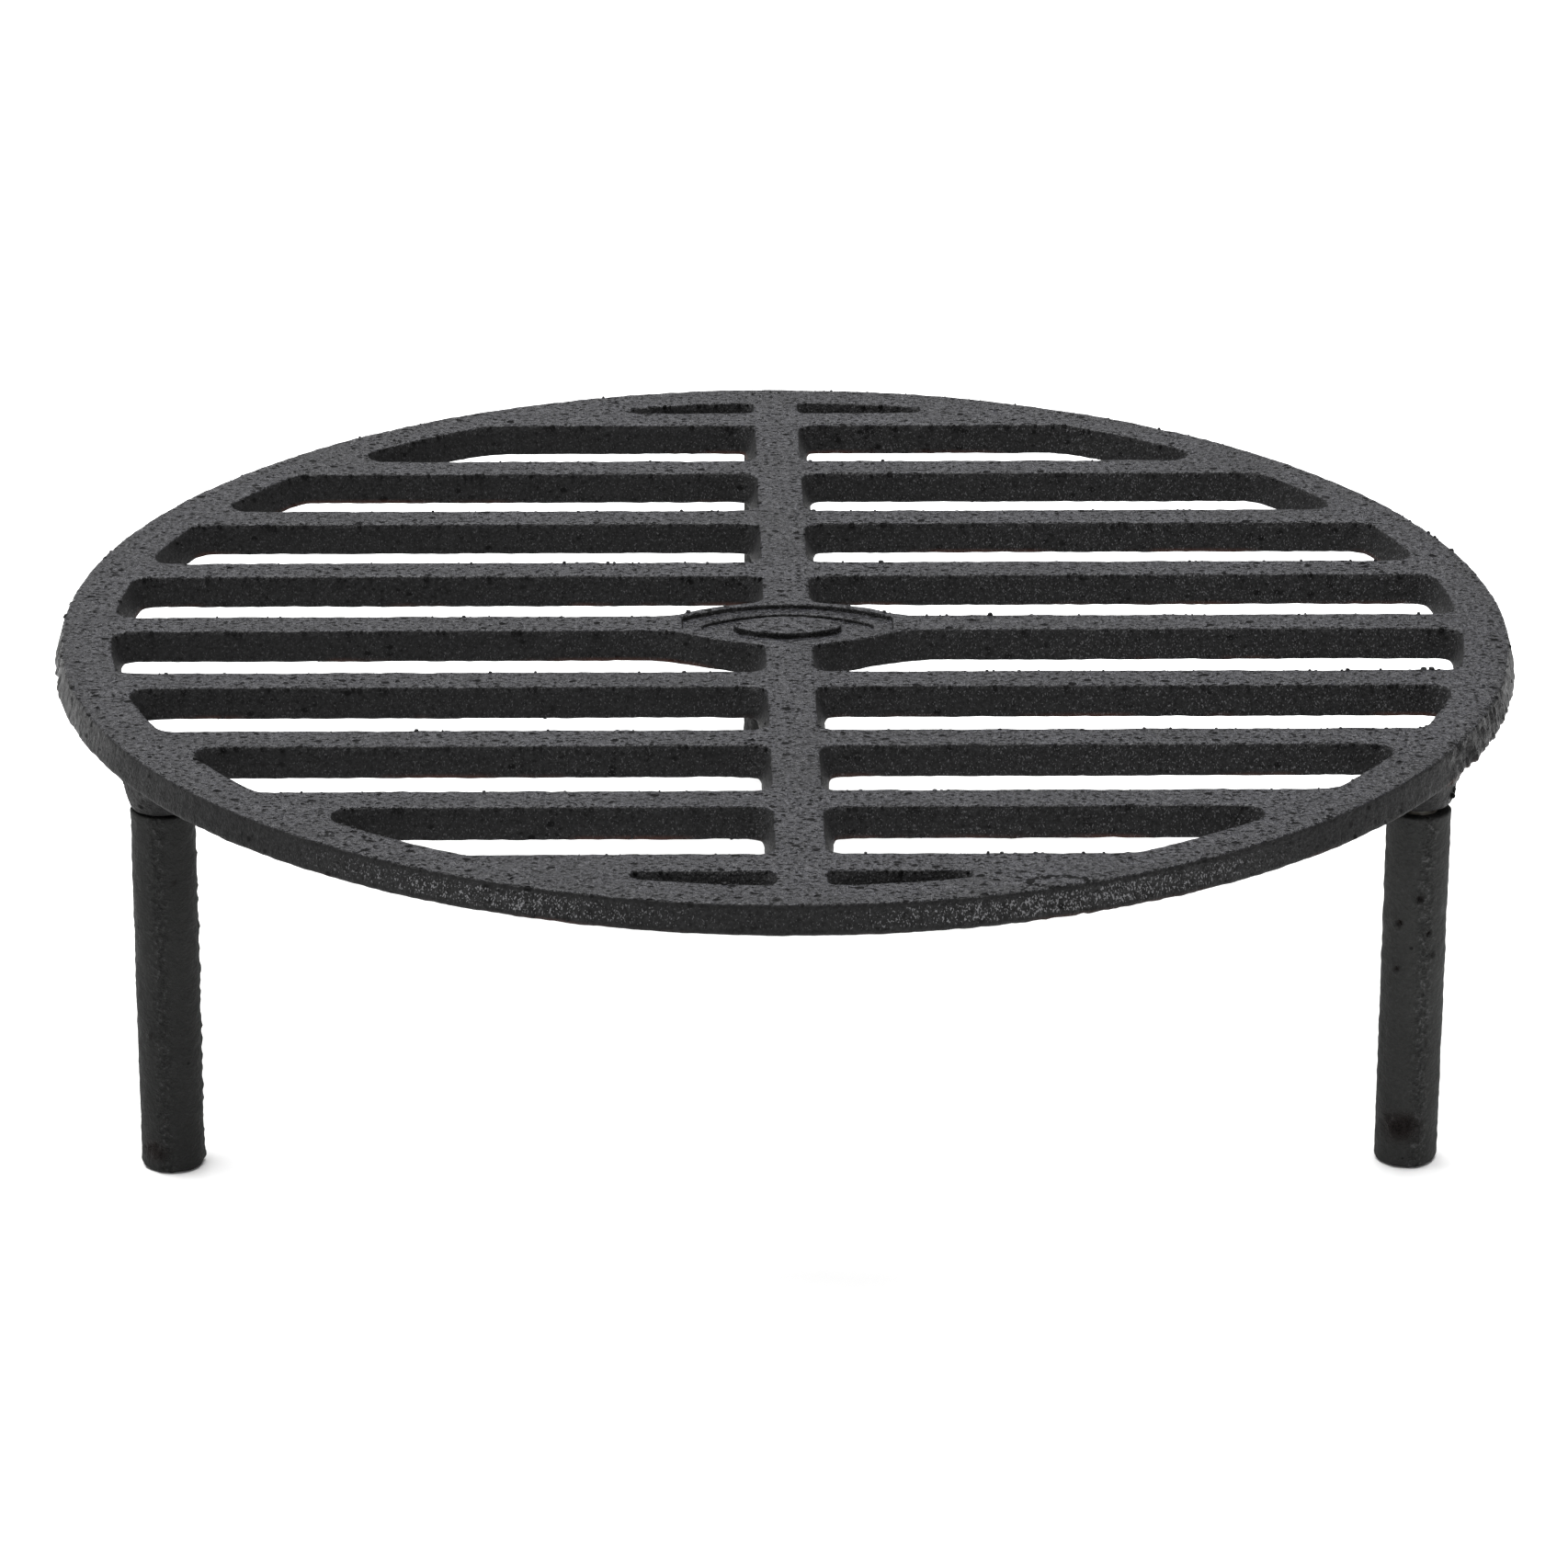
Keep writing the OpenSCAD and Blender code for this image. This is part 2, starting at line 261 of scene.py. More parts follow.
def quarter_slots(plate, medallion, step, fine):
    """Outlines at the top face of the slots towards +X and +Y, with normals into the slots"""
    inner = plate.radius - plate.rim_lean - plate.rim_width
    spine, half = plate.spine_width / 2, plate.bar_width / 2
    last = math.floor((inner - half - plate.end_slot_min) / plate.bar_pitch)
    side, centre_off = medallion.side_radius, medallion.side_radius - medallion.width / 2
    slots = []
    for number in range(last + 1):
        near, far = number * plate.bar_pitch + half, (number + 1) * plate.bar_pitch - half
        is_end = number == last
        rim_r = plate.end_tip if is_end else plate.rim_corner
        spine_r = plate.end_corner if is_end else plate.spine_corner
        spine_x = spine + spine_r
        rim_x = math.sqrt((inner - rim_r) ** 2 - (near + rim_r) ** 2)
        near_angle = math.atan2(near + rim_r, rim_x)
        runs = [arc((rim_x, near + rim_r), rim_r, -math.pi / 2, near_angle, fine)]
        if is_end:
            upper = math.sqrt((inner - spine_r) ** 2 - spine_x**2)
            far_angle = math.atan2(upper, spine_x)
            runs.append(arc((0, 0), inner, near_angle, far_angle, step))
            runs.append(arc((spine_x, upper), spine_r, far_angle, math.pi, fine))
        else:
            far_x = math.sqrt((inner - rim_r) ** 2 - (far - rim_r) ** 2)
            far_angle = math.atan2(far - rim_r, far_x)
            upper = far - spine_r
            runs.append(arc((0, 0), inner, near_angle, far_angle, step))
            runs.append(arc((far_x, far - rim_r), rim_r, far_angle, math.pi / 2, fine))
            runs.append(straight((far_x, far), (spine_x, far), step))
            runs.append(arc((spine_x, upper), spine_r, math.pi / 2, math.pi, fine))
        if number == 0:
            web_y = math.sqrt((side + spine_r) ** 2 - spine_x**2) - centre_off
            web_angle = math.atan2(web_y + centre_off, spine_x)
            flare_y = half + medallion.flare
            flare_x = math.sqrt((side + medallion.flare) ** 2 - (flare_y + centre_off) ** 2)
            flare_angle = math.atan2(flare_y + centre_off, flare_x)
            runs.append(straight((spine, upper), (spine, web_y), step))
            runs.append(arc((spine_x, web_y), spine_r, math.pi, web_angle + math.pi, fine))
            runs.append(arc((0, -centre_off), side, web_angle, flare_angle, step))
            flare = arc((flare_x, flare_y), medallion.flare, flare_angle + math.pi, 1.5 * math.pi, step)
            runs.append(flare)
            start_x = flare_x
        else:
            runs.append(straight((spine, upper), (spine, near + spine_r), step))
            runs.append(arc((spine_x, near + spine_r), spine_r, math.pi, 1.5 * math.pi, fine))
            start_x = spine_x
        runs.append(straight((start_x, near), (rim_x, near), step))
        slots.append(joined(runs))
    return slots


def all_slots(plate, medallion, step, fine):
    """The slots of all four quarters, each running anticlockwise"""
    slots = []
    for points, normals in quarter_slots(plate, medallion, step, fine):
        for flip in ((1, 1), (-1, 1), (-1, -1), (1, -1)):
            order = slice(None) if flip[0] == flip[1] else slice(None, None, -1)
            slots.append(((points * flip)[order], (normals * flip)[order]))
    return slots


def oval(half_length, width, tip, step):
    """Oval with round tips that run smoothly into its two long arcs"""
    x = half_length - tip
    side = (width**2 / 4 + x**2 - tip**2) / (width - 2 * tip)
    off = side - width / 2
    turn = math.atan2(off, x)
    half = [
        arc((x, 0), tip, 0.0, turn, step / 2),
        arc((0, -off), side, turn, math.pi - turn, step),
        arc((-x, 0), tip, math.pi - turn, math.pi, step / 2),
    ]
    return both_halves(half)


def blunt_oval(half_length, side, width, corner, step):
    """Oval between two arcs, cut straight at both ends, with rounded corners"""
    off = side - width / 2
    x = half_length - corner
    y = math.sqrt((side - corner) ** 2 - x**2) - off
    turn = math.atan2(y + off, x)
    half = [
        straight((half_length, -y), (half_length, y), step),
        arc((x, y), corner, 0.0, turn, step / 2),
        arc((0, -off), side, turn, math.pi - turn, step),
        arc((-x, y), corner, math.pi - turn, math.pi, step / 2),
    ]
    return both_halves(half)


# Profiles of walls, as pairs of how far out from the upper outline and how far down

def edge_points(centre, radius, start, end, count):
    """Points round an edge in a wall's profile"""
    angles = np.linspace(start, end, count)
    return [(centre[0] + radius * math.cos(a), centre[1] + radius * math.sin(a)) for a in angles]


def wall_profile(height, lean, top_r, foot_r, rows, hollow_foot=False, arcs=4):
    """From the face above to the face below, down a leaning wall with rounded edges"""
    tilt = math.atan2(lean, height)
    top_reach = top_r * math.tan((math.pi / 2 - tilt) / 2)
    upper = edge_points((-top_reach, -top_r), top_r, math.pi / 2, tilt, arcs)
    if hollow_foot:
        foot = (lean + foot_r * math.tan((math.pi / 2 - tilt) / 2), foot_r - height)
        lower = edge_points(foot, foot_r, math.pi + tilt, 1.5 * math.pi, arcs)
    else:
        foot = (lean - foot_r * math.tan((math.pi / 2 + tilt) / 2), foot_r - height)
        lower = edge_points(foot, foot_r, tilt, -math.pi / 2, arcs)
    between = np.linspace(upper[-1], lower[0], rows + 2)[1:-1]
    return upper + [tuple(p) for p in between] + lower


# Meshes

def lies_inside(points, loop):
    """True for each point that lies inside a closed loop"""
    result = np.zeros(len(points), bool)
    low, high = loop.min(0), loop.max(0)
    near = np.flatnonzero(((points > low) & (points < high)).all(1))
    start, end = loop, np.roll(loop, -1, 0)
    rise = end[:, 1] - start[:, 1]
    rise[rise == 0] = 1e-12
    at_once = 4000
    for part in np.array_split(near, len(near) // at_once + 1):
        x, y = points[part, :1], points[part, 1:]
        crosses = (start[:, 1] > y) != (end[:, 1] > y)
        left = x < (end[:, 0] - start[:, 0]) * (y - start[:, 1]) / rise + start[:, 0]
        result[part] = (crosses & left).sum(1) % 2 == 1
    return result


def lies_outside(points, loops):
    """True for each point that lies inside none of the loops"""
    inside = np.zeros(len(points), bool)
    for loop in loops:
        inside |= lies_inside(points, loop)
    return ~inside


class Shell:
    """Points and faces of a piece while it is being built"""

    def __init__(self, seed):
        self.points = np.empty((0, 3))
        self.quads = []
        self.triangles = []
        self.random = np.random.default_rng(seed)

    def add(self, points):
        """Adds points and returns their numbers"""
        first = len(self.points)
        self.points = np.concatenate([self.points, points])
        return np.arange(first, len(self.points))

    def ring(self, flat, height):
        """Adds a level ring of points"""
        return self.add(np.column_stack([flat, np.full(len(flat), height)]))

    def band(self, upper, lower):
        """Faces between two rings, facing left of the way that they run where upper is above lower"""
        self.quads.append(np.stack([upper, np.roll(upper, -1), np.roll(lower, -1), lower], 1))

    def bands(self, rings, flipped=False):
        """Faces between each ring and the next, as between an upper and a lower one unless flipped"""
        for pair in zip(rings, rings[1:]):
            self.band(*(reversed(pair) if flipped else pair))

    def fan(self, ring, middle):
        """Faces from a ring to a point, facing up where the ring runs anticlockwise"""
        centre = np.repeat(self.add(np.array([middle])), len(ring))
        self.triangles.append(np.stack([ring, np.roll(ring, -1), centre], 1))

    def wall(self, outline, profile, top, outward=False, softer=None):
        """Wall along a profile: into a slot, or outward round a piece. Returns its first and last ring

        Where the wall faces the front, its profile goes over to the softer one, and its corners widen
        on the way down.
        """
        points, normals = outline
        side = -1 if outward else 1
        front = np.clip(-normals[:, 1:], 0, 1) if softer else np.zeros((len(points), 1))
        rings = []
        for (out, down), (soft_out, soft_down) in zip(profile, softer or profile):
            flat = points + side * (out + front * (soft_out - out)) * normals
            if softer:
                flat += (evened(flat) - flat) * down / profile[-1][1]
            rings.append(self.add(np.hstack([flat, top + down + front * (soft_down - down)])))
        self.bands(rings, flipped=outward)
        return rings[0], rings[-1]

    def lattice(self, loops, step, clear):
        """Loosely scattered points inside the first loop and outside the rest"""
        low, high = loops[0].min(0), loops[0].max(0)
        across = np.arange(low[0], high[0], step)
        along = np.arange(low[1], high[1], step * math.sqrt(0.75))
        grid = np.stack(np.meshgrid(across, along), -1)
        grid[1::2, :, 0] += step / 2
        grid = grid.reshape(-1, 2) + self.random.uniform(-0.2, 0.2, (grid.size // 2, 2)) * step
        grid = grid[lies_inside(grid, loops[0]) & lies_outside(grid, loops[1:])]
        return far_from(grid, np.concatenate(loops), clear)

    def fill(self, outer, holes, step, facing_up, grit=0.0, marks=()):
        """Level face between a ring and the rings inside it, with loose grit, pits and pimples"""
        rings = [outer] + list(holes)
        edge = np.concatenate(rings)
        height = self.points[edge[0], 2]
        loops = [self.points[ring][:, :2] for ring in rings]
        inner = self.lattice(loops, step, 0.6 * step)
        # A tenth of the points get a stronger lift, up or down, and 14 % a grain that stands up
        chance = self.random.uniform(0, 1, (len(inner), 2))
        lift = grit * (chance[:, 1] - 0.5) * np.where(chance[:, 0] < 0.1, -2.4, 0.7)
        lift = np.where(chance[:, 0] > 0.86, grit * (0.6 + chance[:, 1]), lift)
        for x, y, radius, rise in marks:
            keep = apart(inner, (x, y)) > radius * 1.35
            spots, lifts = mark_points(x, y, radius, rise, self.random.uniform(0, math.tau))
            inner = np.concatenate([inner[keep], spots])
            lift = np.concatenate([lift[keep], lifts])
        numbers = np.concatenate([edge, self.add(np.column_stack([inner, height + lift]))])
        flat = np.concatenate(loops + [inner])
        links, first = [], 0
        for ring in rings:
            local = np.arange(first, first + len(ring))
            links += np.stack([local, np.roll(local, -1)], 1).tolist()
            first += len(ring)
        cut = geometry.delaunay_2d_cdt([Vector(p) for p in flat.tolist()], links, [], 0, 1e-9)
        source = np.array([same[0] for same in cut[3]])
        faces = source[np.array(cut[2])]
        corners = flat[faces]
        keep = lies_outside(corners.mean(1), loops[1:])
        a, b = corners[:, 1] - corners[:, 0], corners[:, 2] - corners[:, 0]
        turned = (a[:, 0] * b[:, 1] - a[:, 1] * b[:, 0] > 0) != facing_up
        faces[turned] = faces[turned][:, ::-1]
        self.triangles.append(numbers[faces[keep]])

    def bead(self, place, radius):
        """Small rough bead, half sunk in the skin"""
        turns, levels = 6, (-0.75, 0.0, 0.75)
        squash = self.random.uniform(0.75, 1.25, 3)
        rings = []
        for level in levels:
            angle = math.tau * np.arange(turns) / turns + level
            wide = math.sqrt(1 - level**2) * self.random.uniform(0.85, 1.15, turns)
            ring = np.column_stack([wide[:, None] * towards(angle), np.full(turns, level)])
            rings.append(self.add(place + radius * squash * ring))
        self.bands(rings)
        self.fan(rings[2], place + radius * squash * (0, 0, 1))
        self.fan(rings[0][::-1], place - radius * squash * (0, 0, 1))

    def piece(self, name):
        """Object made of the points and faces"""
        mesh = bpy.data.meshes.new(name)
        faces = [f for block in self.quads + self.triangles for f in block.tolist()]
        mesh.from_pydata(self.points.tolist(), [], faces)
        mesh.shade_smooth()
        mesh.validate()
        return add_object(name, mesh)


def apart(points, place):
    """How far each point lies from a place, seen from above"""
    return np.hypot(points[:, 0] - place[0], points[:, 1] - place[1])


def far_from(points, others, distance):
    """The points that lie at least a distance from all the others"""
    tree = kdtree.KDTree(len(others))
    for number, (x, y) in enumerate(others.tolist()):
        tree.insert((x, y, 0.0), number)
    tree.balance()
    keep = [tree.find((x, y, 0.0))[2] >= distance for x, y in points.tolist()]
    return points[np.array(keep, bool)]


def mark_points(x, y, radius, rise, turn):
    """Points of one pit or pimple in a flat face, and how high each one lies"""
    spots, lifts = [(x, y)], [rise]
    for reach, lift, count in ((0.5, 0.8, 6), (1.0, 0.05, 9)):
        for step in range(count):
            angle = turn + math.tau * step / count
            spots.append((x + radius * reach * math.cos(angle), y + radius * reach * math.sin(angle)))
            lifts.append(rise * lift)
    return np.array(spots), np.array(lifts)


def evened(ring, reach=5):
    """A closed ring whose corners are rounded by taking the mean of neighbouring points"""
    return np.mean([np.roll(ring, step, 0) for step in range(-reach, reach + 1)], 0)


def mesh_points(mesh):
    """Places of the points of a mesh"""
    return np.array([vertex.co for vertex in mesh.vertices])


def vertex_normals(mesh):
    """Normals at the points of a mesh"""
    normals = np.empty(len(mesh.vertices) * 3, np.float32)
    mesh.vertex_normals.foreach_get("vector", normals)
    return normals.reshape(-1, 3).astype(float)


def waves(points, size, seed):
    """Smooth noise between about -1 and 1 at each point, with waves of a size"""
    shift = Vector((seed * 7.31, seed * 3.17, seed * 5.59))
    return np.array([noise.noise(Vector(p) / size + shift) for p in points.tolist()])


def put_number(mesh, name, values):
    """Stores a number at each point for the materials to read"""
    mesh.attributes.new(name, "FLOAT", "POINT").data.foreach_set("value", np.asarray(values, np.float32))


def bump_at(distance, reach):
    """1 at no distance, falling smoothly to 0 at a reach on both sides"""
    near = np.clip(1 - np.abs(distance) / reach, 0, 1)
    return near * near * (3 - 2 * near)


def roughen(mesh, finish, seed, extra, scar):
    """Lifts each point of a casting by its waves, its scars and an extra in metres

    No point goes below the lowest one, so that the feet stay on the floor.
    """
    points, normals = mesh_points(mesh), vertex_normals(mesh)
    lift = finish.wave * waves(points, 9 * MM, seed) + finish.ripple * waves(points, 2.6 * MM, seed + 1)
    torn = waves(points * (1, 1, 0.5), 1.8 * MM, seed + 2) - 0.15
    lift = lift + extra + scar**2 * finish.scar_depth * torn
    moved = points + normals * lift[:, None]
    moved[:, 2] = np.maximum(moved[:, 2], points[:, 2].min())
    mesh.vertices.foreach_set("co", moved.ravel())
    mesh.update()
    put_number(mesh, "up", np.clip(normals[:, 2], -1, 1))
    put_number(mesh, "scar", scar)


def add_object(name, data):
    """Object in the scene that holds a mesh, a light or a camera"""
    thing = bpy.data.objects.new(name, data)
    bpy.context.scene.collection.objects.link(thing)
    return thing


def dress(thing, body, node, material):
    """Gives a finished piece its material and ties it to the CAD model"""
    thing.data.materials.clear()
    thing.data.materials.append(material)
    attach(thing, body)
    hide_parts(node)


# Shaders

class Field:
    """Number that varies over a surface: arithmetic on it adds Math nodes"""

    def __init__(self, shader, socket):
        self.shader = shader
        self.socket = socket

    def math(self, operation, first, second):
        """What a Math node makes of two numbers"""
        return self.shader.node("ShaderNodeMath", {"operation": operation}, {0: first, 1: second})

    def __add__(self, other):
        return self.math("ADD", self, other)

    def __sub__(self, other):
        return self.math("SUBTRACT", self, other)

    def __rsub__(self, other):
        return self.math("SUBTRACT", other, self)

    def __mul__(self, other):
        return self.math("MULTIPLY", self, other)

    __radd__ = __add__
    __rmul__ = __mul__

    def at_least(self, low):
        """This number, or low where it is less"""
        return self.math("MAXIMUM", self, low)

    def between(self, low, high):
        """0 below low, 1 above high and a smooth rise between"""
        return self.shader.node(
            "ShaderNodeMapRange",
            {"interpolation_type": "SMOOTHSTEP"},
            {"Value": self, "From Min": low, "From Max": high},
        )

    def blend(self, below, above):
        """Colour that goes from below to above as this number goes from 0 to 1"""
        sockets = {0: self, 6: below, 7: above}
        return self.shader.node("ShaderNodeMix", {"data_type": "RGBA"}, sockets, 2)


class Shader:
    """Material while its nodes are being joined"""

    def __init__(self, name):
        self.material = bpy.data.materials.new(name)
        self.material.use_nodes = True
        self.tree = self.material.node_tree
        self.surface = self.tree.nodes["Principled BSDF"]
        self.place = self.node("ShaderNodeTexCoord", output="Object")

    def node(self, kind, options=None, sockets=None, output=0):
        """Adds a node: its options first, then the values or links of its sockets"""
        node = self.tree.nodes.new(kind)
        for name, value in (options or {}).items():
            setattr(node, name, value)
        for name, value in (sockets or {}).items():
            self.feed(node.inputs[name], value)
        return Field(self, node.outputs[output])

    def feed(self, socket, value):
        """Links a field to a socket, or sets the socket's own value"""
        if isinstance(value, Field):
            self.tree.links.new(value.socket, socket)
        elif hasattr(value, "__len__") and len(value) == 3 and socket.type == "RGBA":
            socket.default_value = (*value, 1.0)
        else:
            socket.default_value = value

    def vector(self, operation, sockets, output=0):
        """What a Vector Math node makes of its sockets"""
        return self.node("ShaderNodeVectorMath", {"operation": operation}, sockets, output)

    def stretched(self, factors):
        """Place on the piece, with each axis times its factor, so that a grain is long where it is small"""
        return self.vector("MULTIPLY", {0: self.place, 1: factors})

    def grain(self, size, detail=2.0, place=None, rough=0.5):
        """Noise around 0.5 whose grains have a size in metres"""
        sockets = {"Vector": place or self.place, "Scale": 1 / size, "Detail": detail, "Roughness": rough}
        return self.node("ShaderNodeTexNoise", {}, sockets, "Fac")

    def dots(self, size, share_of_cells, radius, place=None):
        """Round dots of a radius, in cells of a size, in about a share of the cells"""
        sockets = {"Vector": place or self.place, "Scale": 1 / size}
        cells = self.node("ShaderNodeTexVoronoi", {}, sockets, "Distance")
        cell_colour = Field(self, cells.socket.node.outputs["Color"])
        pick = self.node("ShaderNodeSeparateColor", {}, {0: cell_colour}, 0)
        chosen = pick.between(1 - share_of_cells, 1 - share_of_cells + 0.02)
        return (1 - cells.between(radius / size * 0.6, radius / size * 1.2)) * chosen

    def distance(self, centre, reach):
        """How far each place on the piece lies from a centre, in parts of its reach along each axis"""
        away = self.vector("SUBTRACT", {0: self.place, 1: centre})
        parts = self.vector("DIVIDE", {0: away, 1: reach})
        return self.vector("LENGTH", {0: parts}, "Value")

    def height(self):
        """Height of each place on the piece"""
        return self.node("ShaderNodeSeparateXYZ", {}, {0: self.place}, "Z")

    def scale_colour(self, tone, factor):
        """Colour times a number"""
        return self.vector("SCALE", {0: tone, "Scale": factor})

    def number(self, name):
        """Number that the mesh stores at its points"""
        return self.node("ShaderNodeAttribute", {"attribute_name": name}, {}, "Fac")

    def raise_skin(self, height, distance=MM):
        """Bump whose height is in parts of a distance in metres"""
        bump = self.node("ShaderNodeBump", {}, {"Height": height, "Distance": distance, "Strength": 1.0})
        self.feed(self.surface.inputs["Normal"], bump)

    def finish(self, **sockets):
        """Sets or links the surface's own sockets and returns the material"""
        for name, value in sockets.items():
            self.feed(self.surface.inputs[name.replace("_", " ")], value)
        return self.material


# Middle of the ring-shaped chip in the front of the plate's face, and its reach along each axis
CHIP = (65 * MM, -184 * MM, PLATE_HIGH.z)
CHIP_REACH = (7.5 * MM, 3.4 * MM, 40 * MM)


def plate_paint(finish):
    """Matt black paint on sand-cast iron: pitted upper faces with painted shade in the hollows, walls
    painted darker than the upper faces as painted shade, with pale grains and painted glints
    """
    shader = Shader("cast_plate_paint")
    up = shader.number("up").between(0.45, 0.97)
    scar = shader.number("scar")
    grains = shader.number("grains")
    sand = shader.grain(0.9 * MM, 2.0, rough=0.6)
    lumps = shader.grain(1.9 * MM, 2.0, rough=0.6)
    patches = shader.grain(34 * MM, 3.0)
    drips = shader.grain(0.38 * MM, 1.0, shader.stretched((1.0, 1.0, 0.6)))
    runs = shader.grain(3.5 * MM, 2.0, shader.stretched((1.0, 1.0, 0.12)))
    pits = shader.dots(3.6 * MM, 0.35, 0.75 * MM, shader.stretched((0.7, 1.0, 1.0)))
    pocks = shader.dots(1.7 * MM, 0.40, 0.42 * MM, shader.stretched((0.7, 1.0, 1.0)))
    veins = shader.grain(1.1 * MM, 2.0, shader.stretched((0.6, 1.2, 1.0)), rough=0.6)
    cracks = 1 - veins.between(0.32, 0.46)
    crags = shader.grain(1.7 * MM, 3.0, shader.stretched((1.0, 1.0, 0.45)), rough=0.7)
    worn = shader.grain(26 * MM, 2.0).between(0.40, 0.60)
    # Sand gives random tone; pits, pocks and cracks lower the relief, which darkens them as painted shade
    # in the hollows and also roughens them
    relief_and_hollow_shade = (
        (sand - 0.5) * 1.2 + (0.10 - cracks * 0.80) * up * (0.4 + worn * 0.6)
        - (pits * 1.6 + pocks * 0.8) * (0.25 + worn * 0.75)
    )
    chip = shader.distance(CHIP, CHIP_REACH) + (lumps - 0.5) * 1.2
    relief_and_hollow_shade = relief_and_hollow_shade - chip.between(0.75, 0.95) * (1 - chip.between(1.0, 1.2)) * up * 0.9
    pale = shader.grain(14 * MM, 3.0).between(0.44, 0.62)
    clumps = shader.grain(1.3 * MM, 2.0)
    thick = drips + (clumps - 0.5) * grains * 0.5 + grains * 0.05 + pale * 0.02
    # Pale specks on the walls: pale grains, and painted glints
    dust_and_glint_specks = thick.between(0.66, 0.70) * (0.12 + grains * 0.85) * (1 - up)
    low = 1 - (shader.height() - under_plate()).between(0.2 * MM, 1.3 * MM)
    rust = low * shader.number("slot") * patches.between(0.50, 0.66) * 0.55
    # In shade, the grains term lightens the walls towards +X as painted light from the right and darkens
    # the rim's outer wall as painted shade
    shade = (1.0 + relief_and_hollow_shade * 4.5).at_least(0.1) * (0.65 + patches * 0.7) * (0.60 + grains * 0.3 + up * 0.35)
    # The crags along the torn skin paint dark creases and bright ridges in its tone: painted shade and
    # painted highlights
    shade = shade * (1.0 + (crags - 0.53) * scar * 10.0).at_least(0.10)
    # The upper faces take the lighter paint, and the up term in shade above lifts them further: painted
    # light from above on the upper faces and painted shade on the walls, besides the paint's own tone
    tone = shader.scale_colour(up.blend(finish.wall_paint_and_shade, finish.top_paint_and_light), shade)
    tone = dust_and_glint_specks.blend(tone, finish.dust_and_glint_colour)
    tone = rust.blend(tone, finish.rust_colour)
    tone = (scar * 0.3).blend(tone, finish.scar_and_pit_shade_colour)
    gloss = 0.66 - up * 0.30 - relief_and_hollow_shade * (0.3 + up * 1.5) + (patches - 0.5) * 0.3 - crags * scar * 0.6
    flat = (sand - 0.5) * 0.5 - cracks * 0.25 + (lumps - 0.5) * 0.9 - pits * 0.7 - pocks * 0.3
    side = (drips - 0.5) * 0.25 + (runs - 0.5) * 0.35 + (sand - 0.5) * 0.25 + (lumps - 0.5) * 0.35
    shader.raise_skin(side + (flat - side) * up + (crags - 0.5) * scar * 2.2)
    return shader.finish(Base_Color=tone, Roughness=gloss.at_least(0.22), Specular_IOR_Level=0.2)


def leg_paint(finish):
    """Satin black paint on a smoother casting, rough along its seam and speckled there with dust and
    painted glints
    """
    shader = Shader("cast_leg_paint")
    scar = shader.number("scar")
    seam = shader.number("seam")
    sand = shader.grain(0.9 * MM, 3.0, rough=0.6)
    lumps = shader.grain(3.6 * MM, 3.0)
    patches = shader.grain(22 * MM, 2.0)
    paleness = shader.number("paleness")
    crust = shader.grain(1.1 * MM, 3.0, rough=0.65)
    # Pale specks along the seam: dust, and painted glints on its small bumps
    dust_and_glint_specks = crust.between(0.54, 0.70) * (0.03 + seam * 0.08)
    pits = shader.dots(4.0 * MM, 0.18, 0.50 * MM)
    shade = (0.5 + sand * 0.5 + lumps * 0.5) * (0.7 + patches * 0.6) * paleness
    shade = shade * (1.0 + (crust - 0.5) * seam * 3.0)
    tone = shader.scale_colour(dust_and_glint_specks.blend(finish.leg_colour, finish.dust_and_glint_colour), shade)
    # Dark pits: painted shade in their hollows
    tone = (pits * 0.8).blend(tone, finish.scar_and_pit_shade_colour)
    tone = (scar * 0.8).blend(tone, finish.scar_colour)
    gloss = 0.72 + (lumps - 0.5) * 0.4 - seam * 0.12 - scar * 0.38
    skin = (sand - 0.5) * 0.45 + (lumps - 0.5) * 0.40 - pits * 0.25
    shader.raise_skin(skin + (crust - 0.5) * (0.3 + seam * 1.2 + scar * 1.5))
    return shader.finish(Base_Color=tone, Roughness=gloss, Specular_IOR_Level=0.1)


def stud_steel(finish):
    """Oiled bare steel with dirt in the thread"""
    shader = Shader("stud_steel")
    fine = shader.grain(0.8 * MM, 2.0)
    dirt = shader.grain(5 * MM, 3.0).between(0.45, 0.7)
    tone = dirt.blend(finish.steel_colour, finish.dirt_colour)
    shader.raise_skin((fine - 0.5) * 0.06)
    return shader.finish(Base_Color=tone, Roughness=0.30 + fine * 0.2, Metallic=1.0 - dirt * 0.3)


def floor_white(studio):
    """Matt pale floor"""
    shader = Shader("floor_white")
    tone = shader.scale_colour(studio.floor_colour, 0.995 + shader.grain(0.6, 2.0) * 0.01)
    return shader.finish(Base_Color=tone, Roughness=0.9)


# Pieces

def settings():
    """The add-on's settings in this scene"""
    return bpy.context.scene.grate


def under_plate():
    """Height of the underside of the plate"""
    return PLATE_HIGH.z - settings().plate.thickness


def leg_centre(place):
    """Middle of a leg, seen from above"""
    low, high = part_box("leg_" + place)
    return (low + high) / 2


def thread_depth(turn, height, pitch):
    """Share of the groove's depth at a turn and a height along a right-handed thread"""
    phase = (height / pitch - turn / math.tau) % 1.0
    return np.clip(1.35 * np.abs(2 * phase - 1) - 0.2, 0, 1)


def threaded_hole(shell, centre, radius, groove, pitch, low, high, closed):
    """Wall of a hole with thread grooves cut outward from its bore, facing its axis"""
    angle, way = round_way(40)
    heights = np.linspace(low, high, max(2, round((high - low) / (pitch / 6))))
    rings = []
    for number, height in enumerate(heights):
        depth = thread_depth(angle, height, pitch) * groove * (0 < number < len(heights) - 1)
        rings.append(shell.ring(way * (radius + depth)[:, None] + (centre.x, centre.y), height))
    shell.bands(rings, flipped=True)
    if closed:
        shell.fan(rings[-1][::-1], (centre.x, centre.y, high))
    return rings


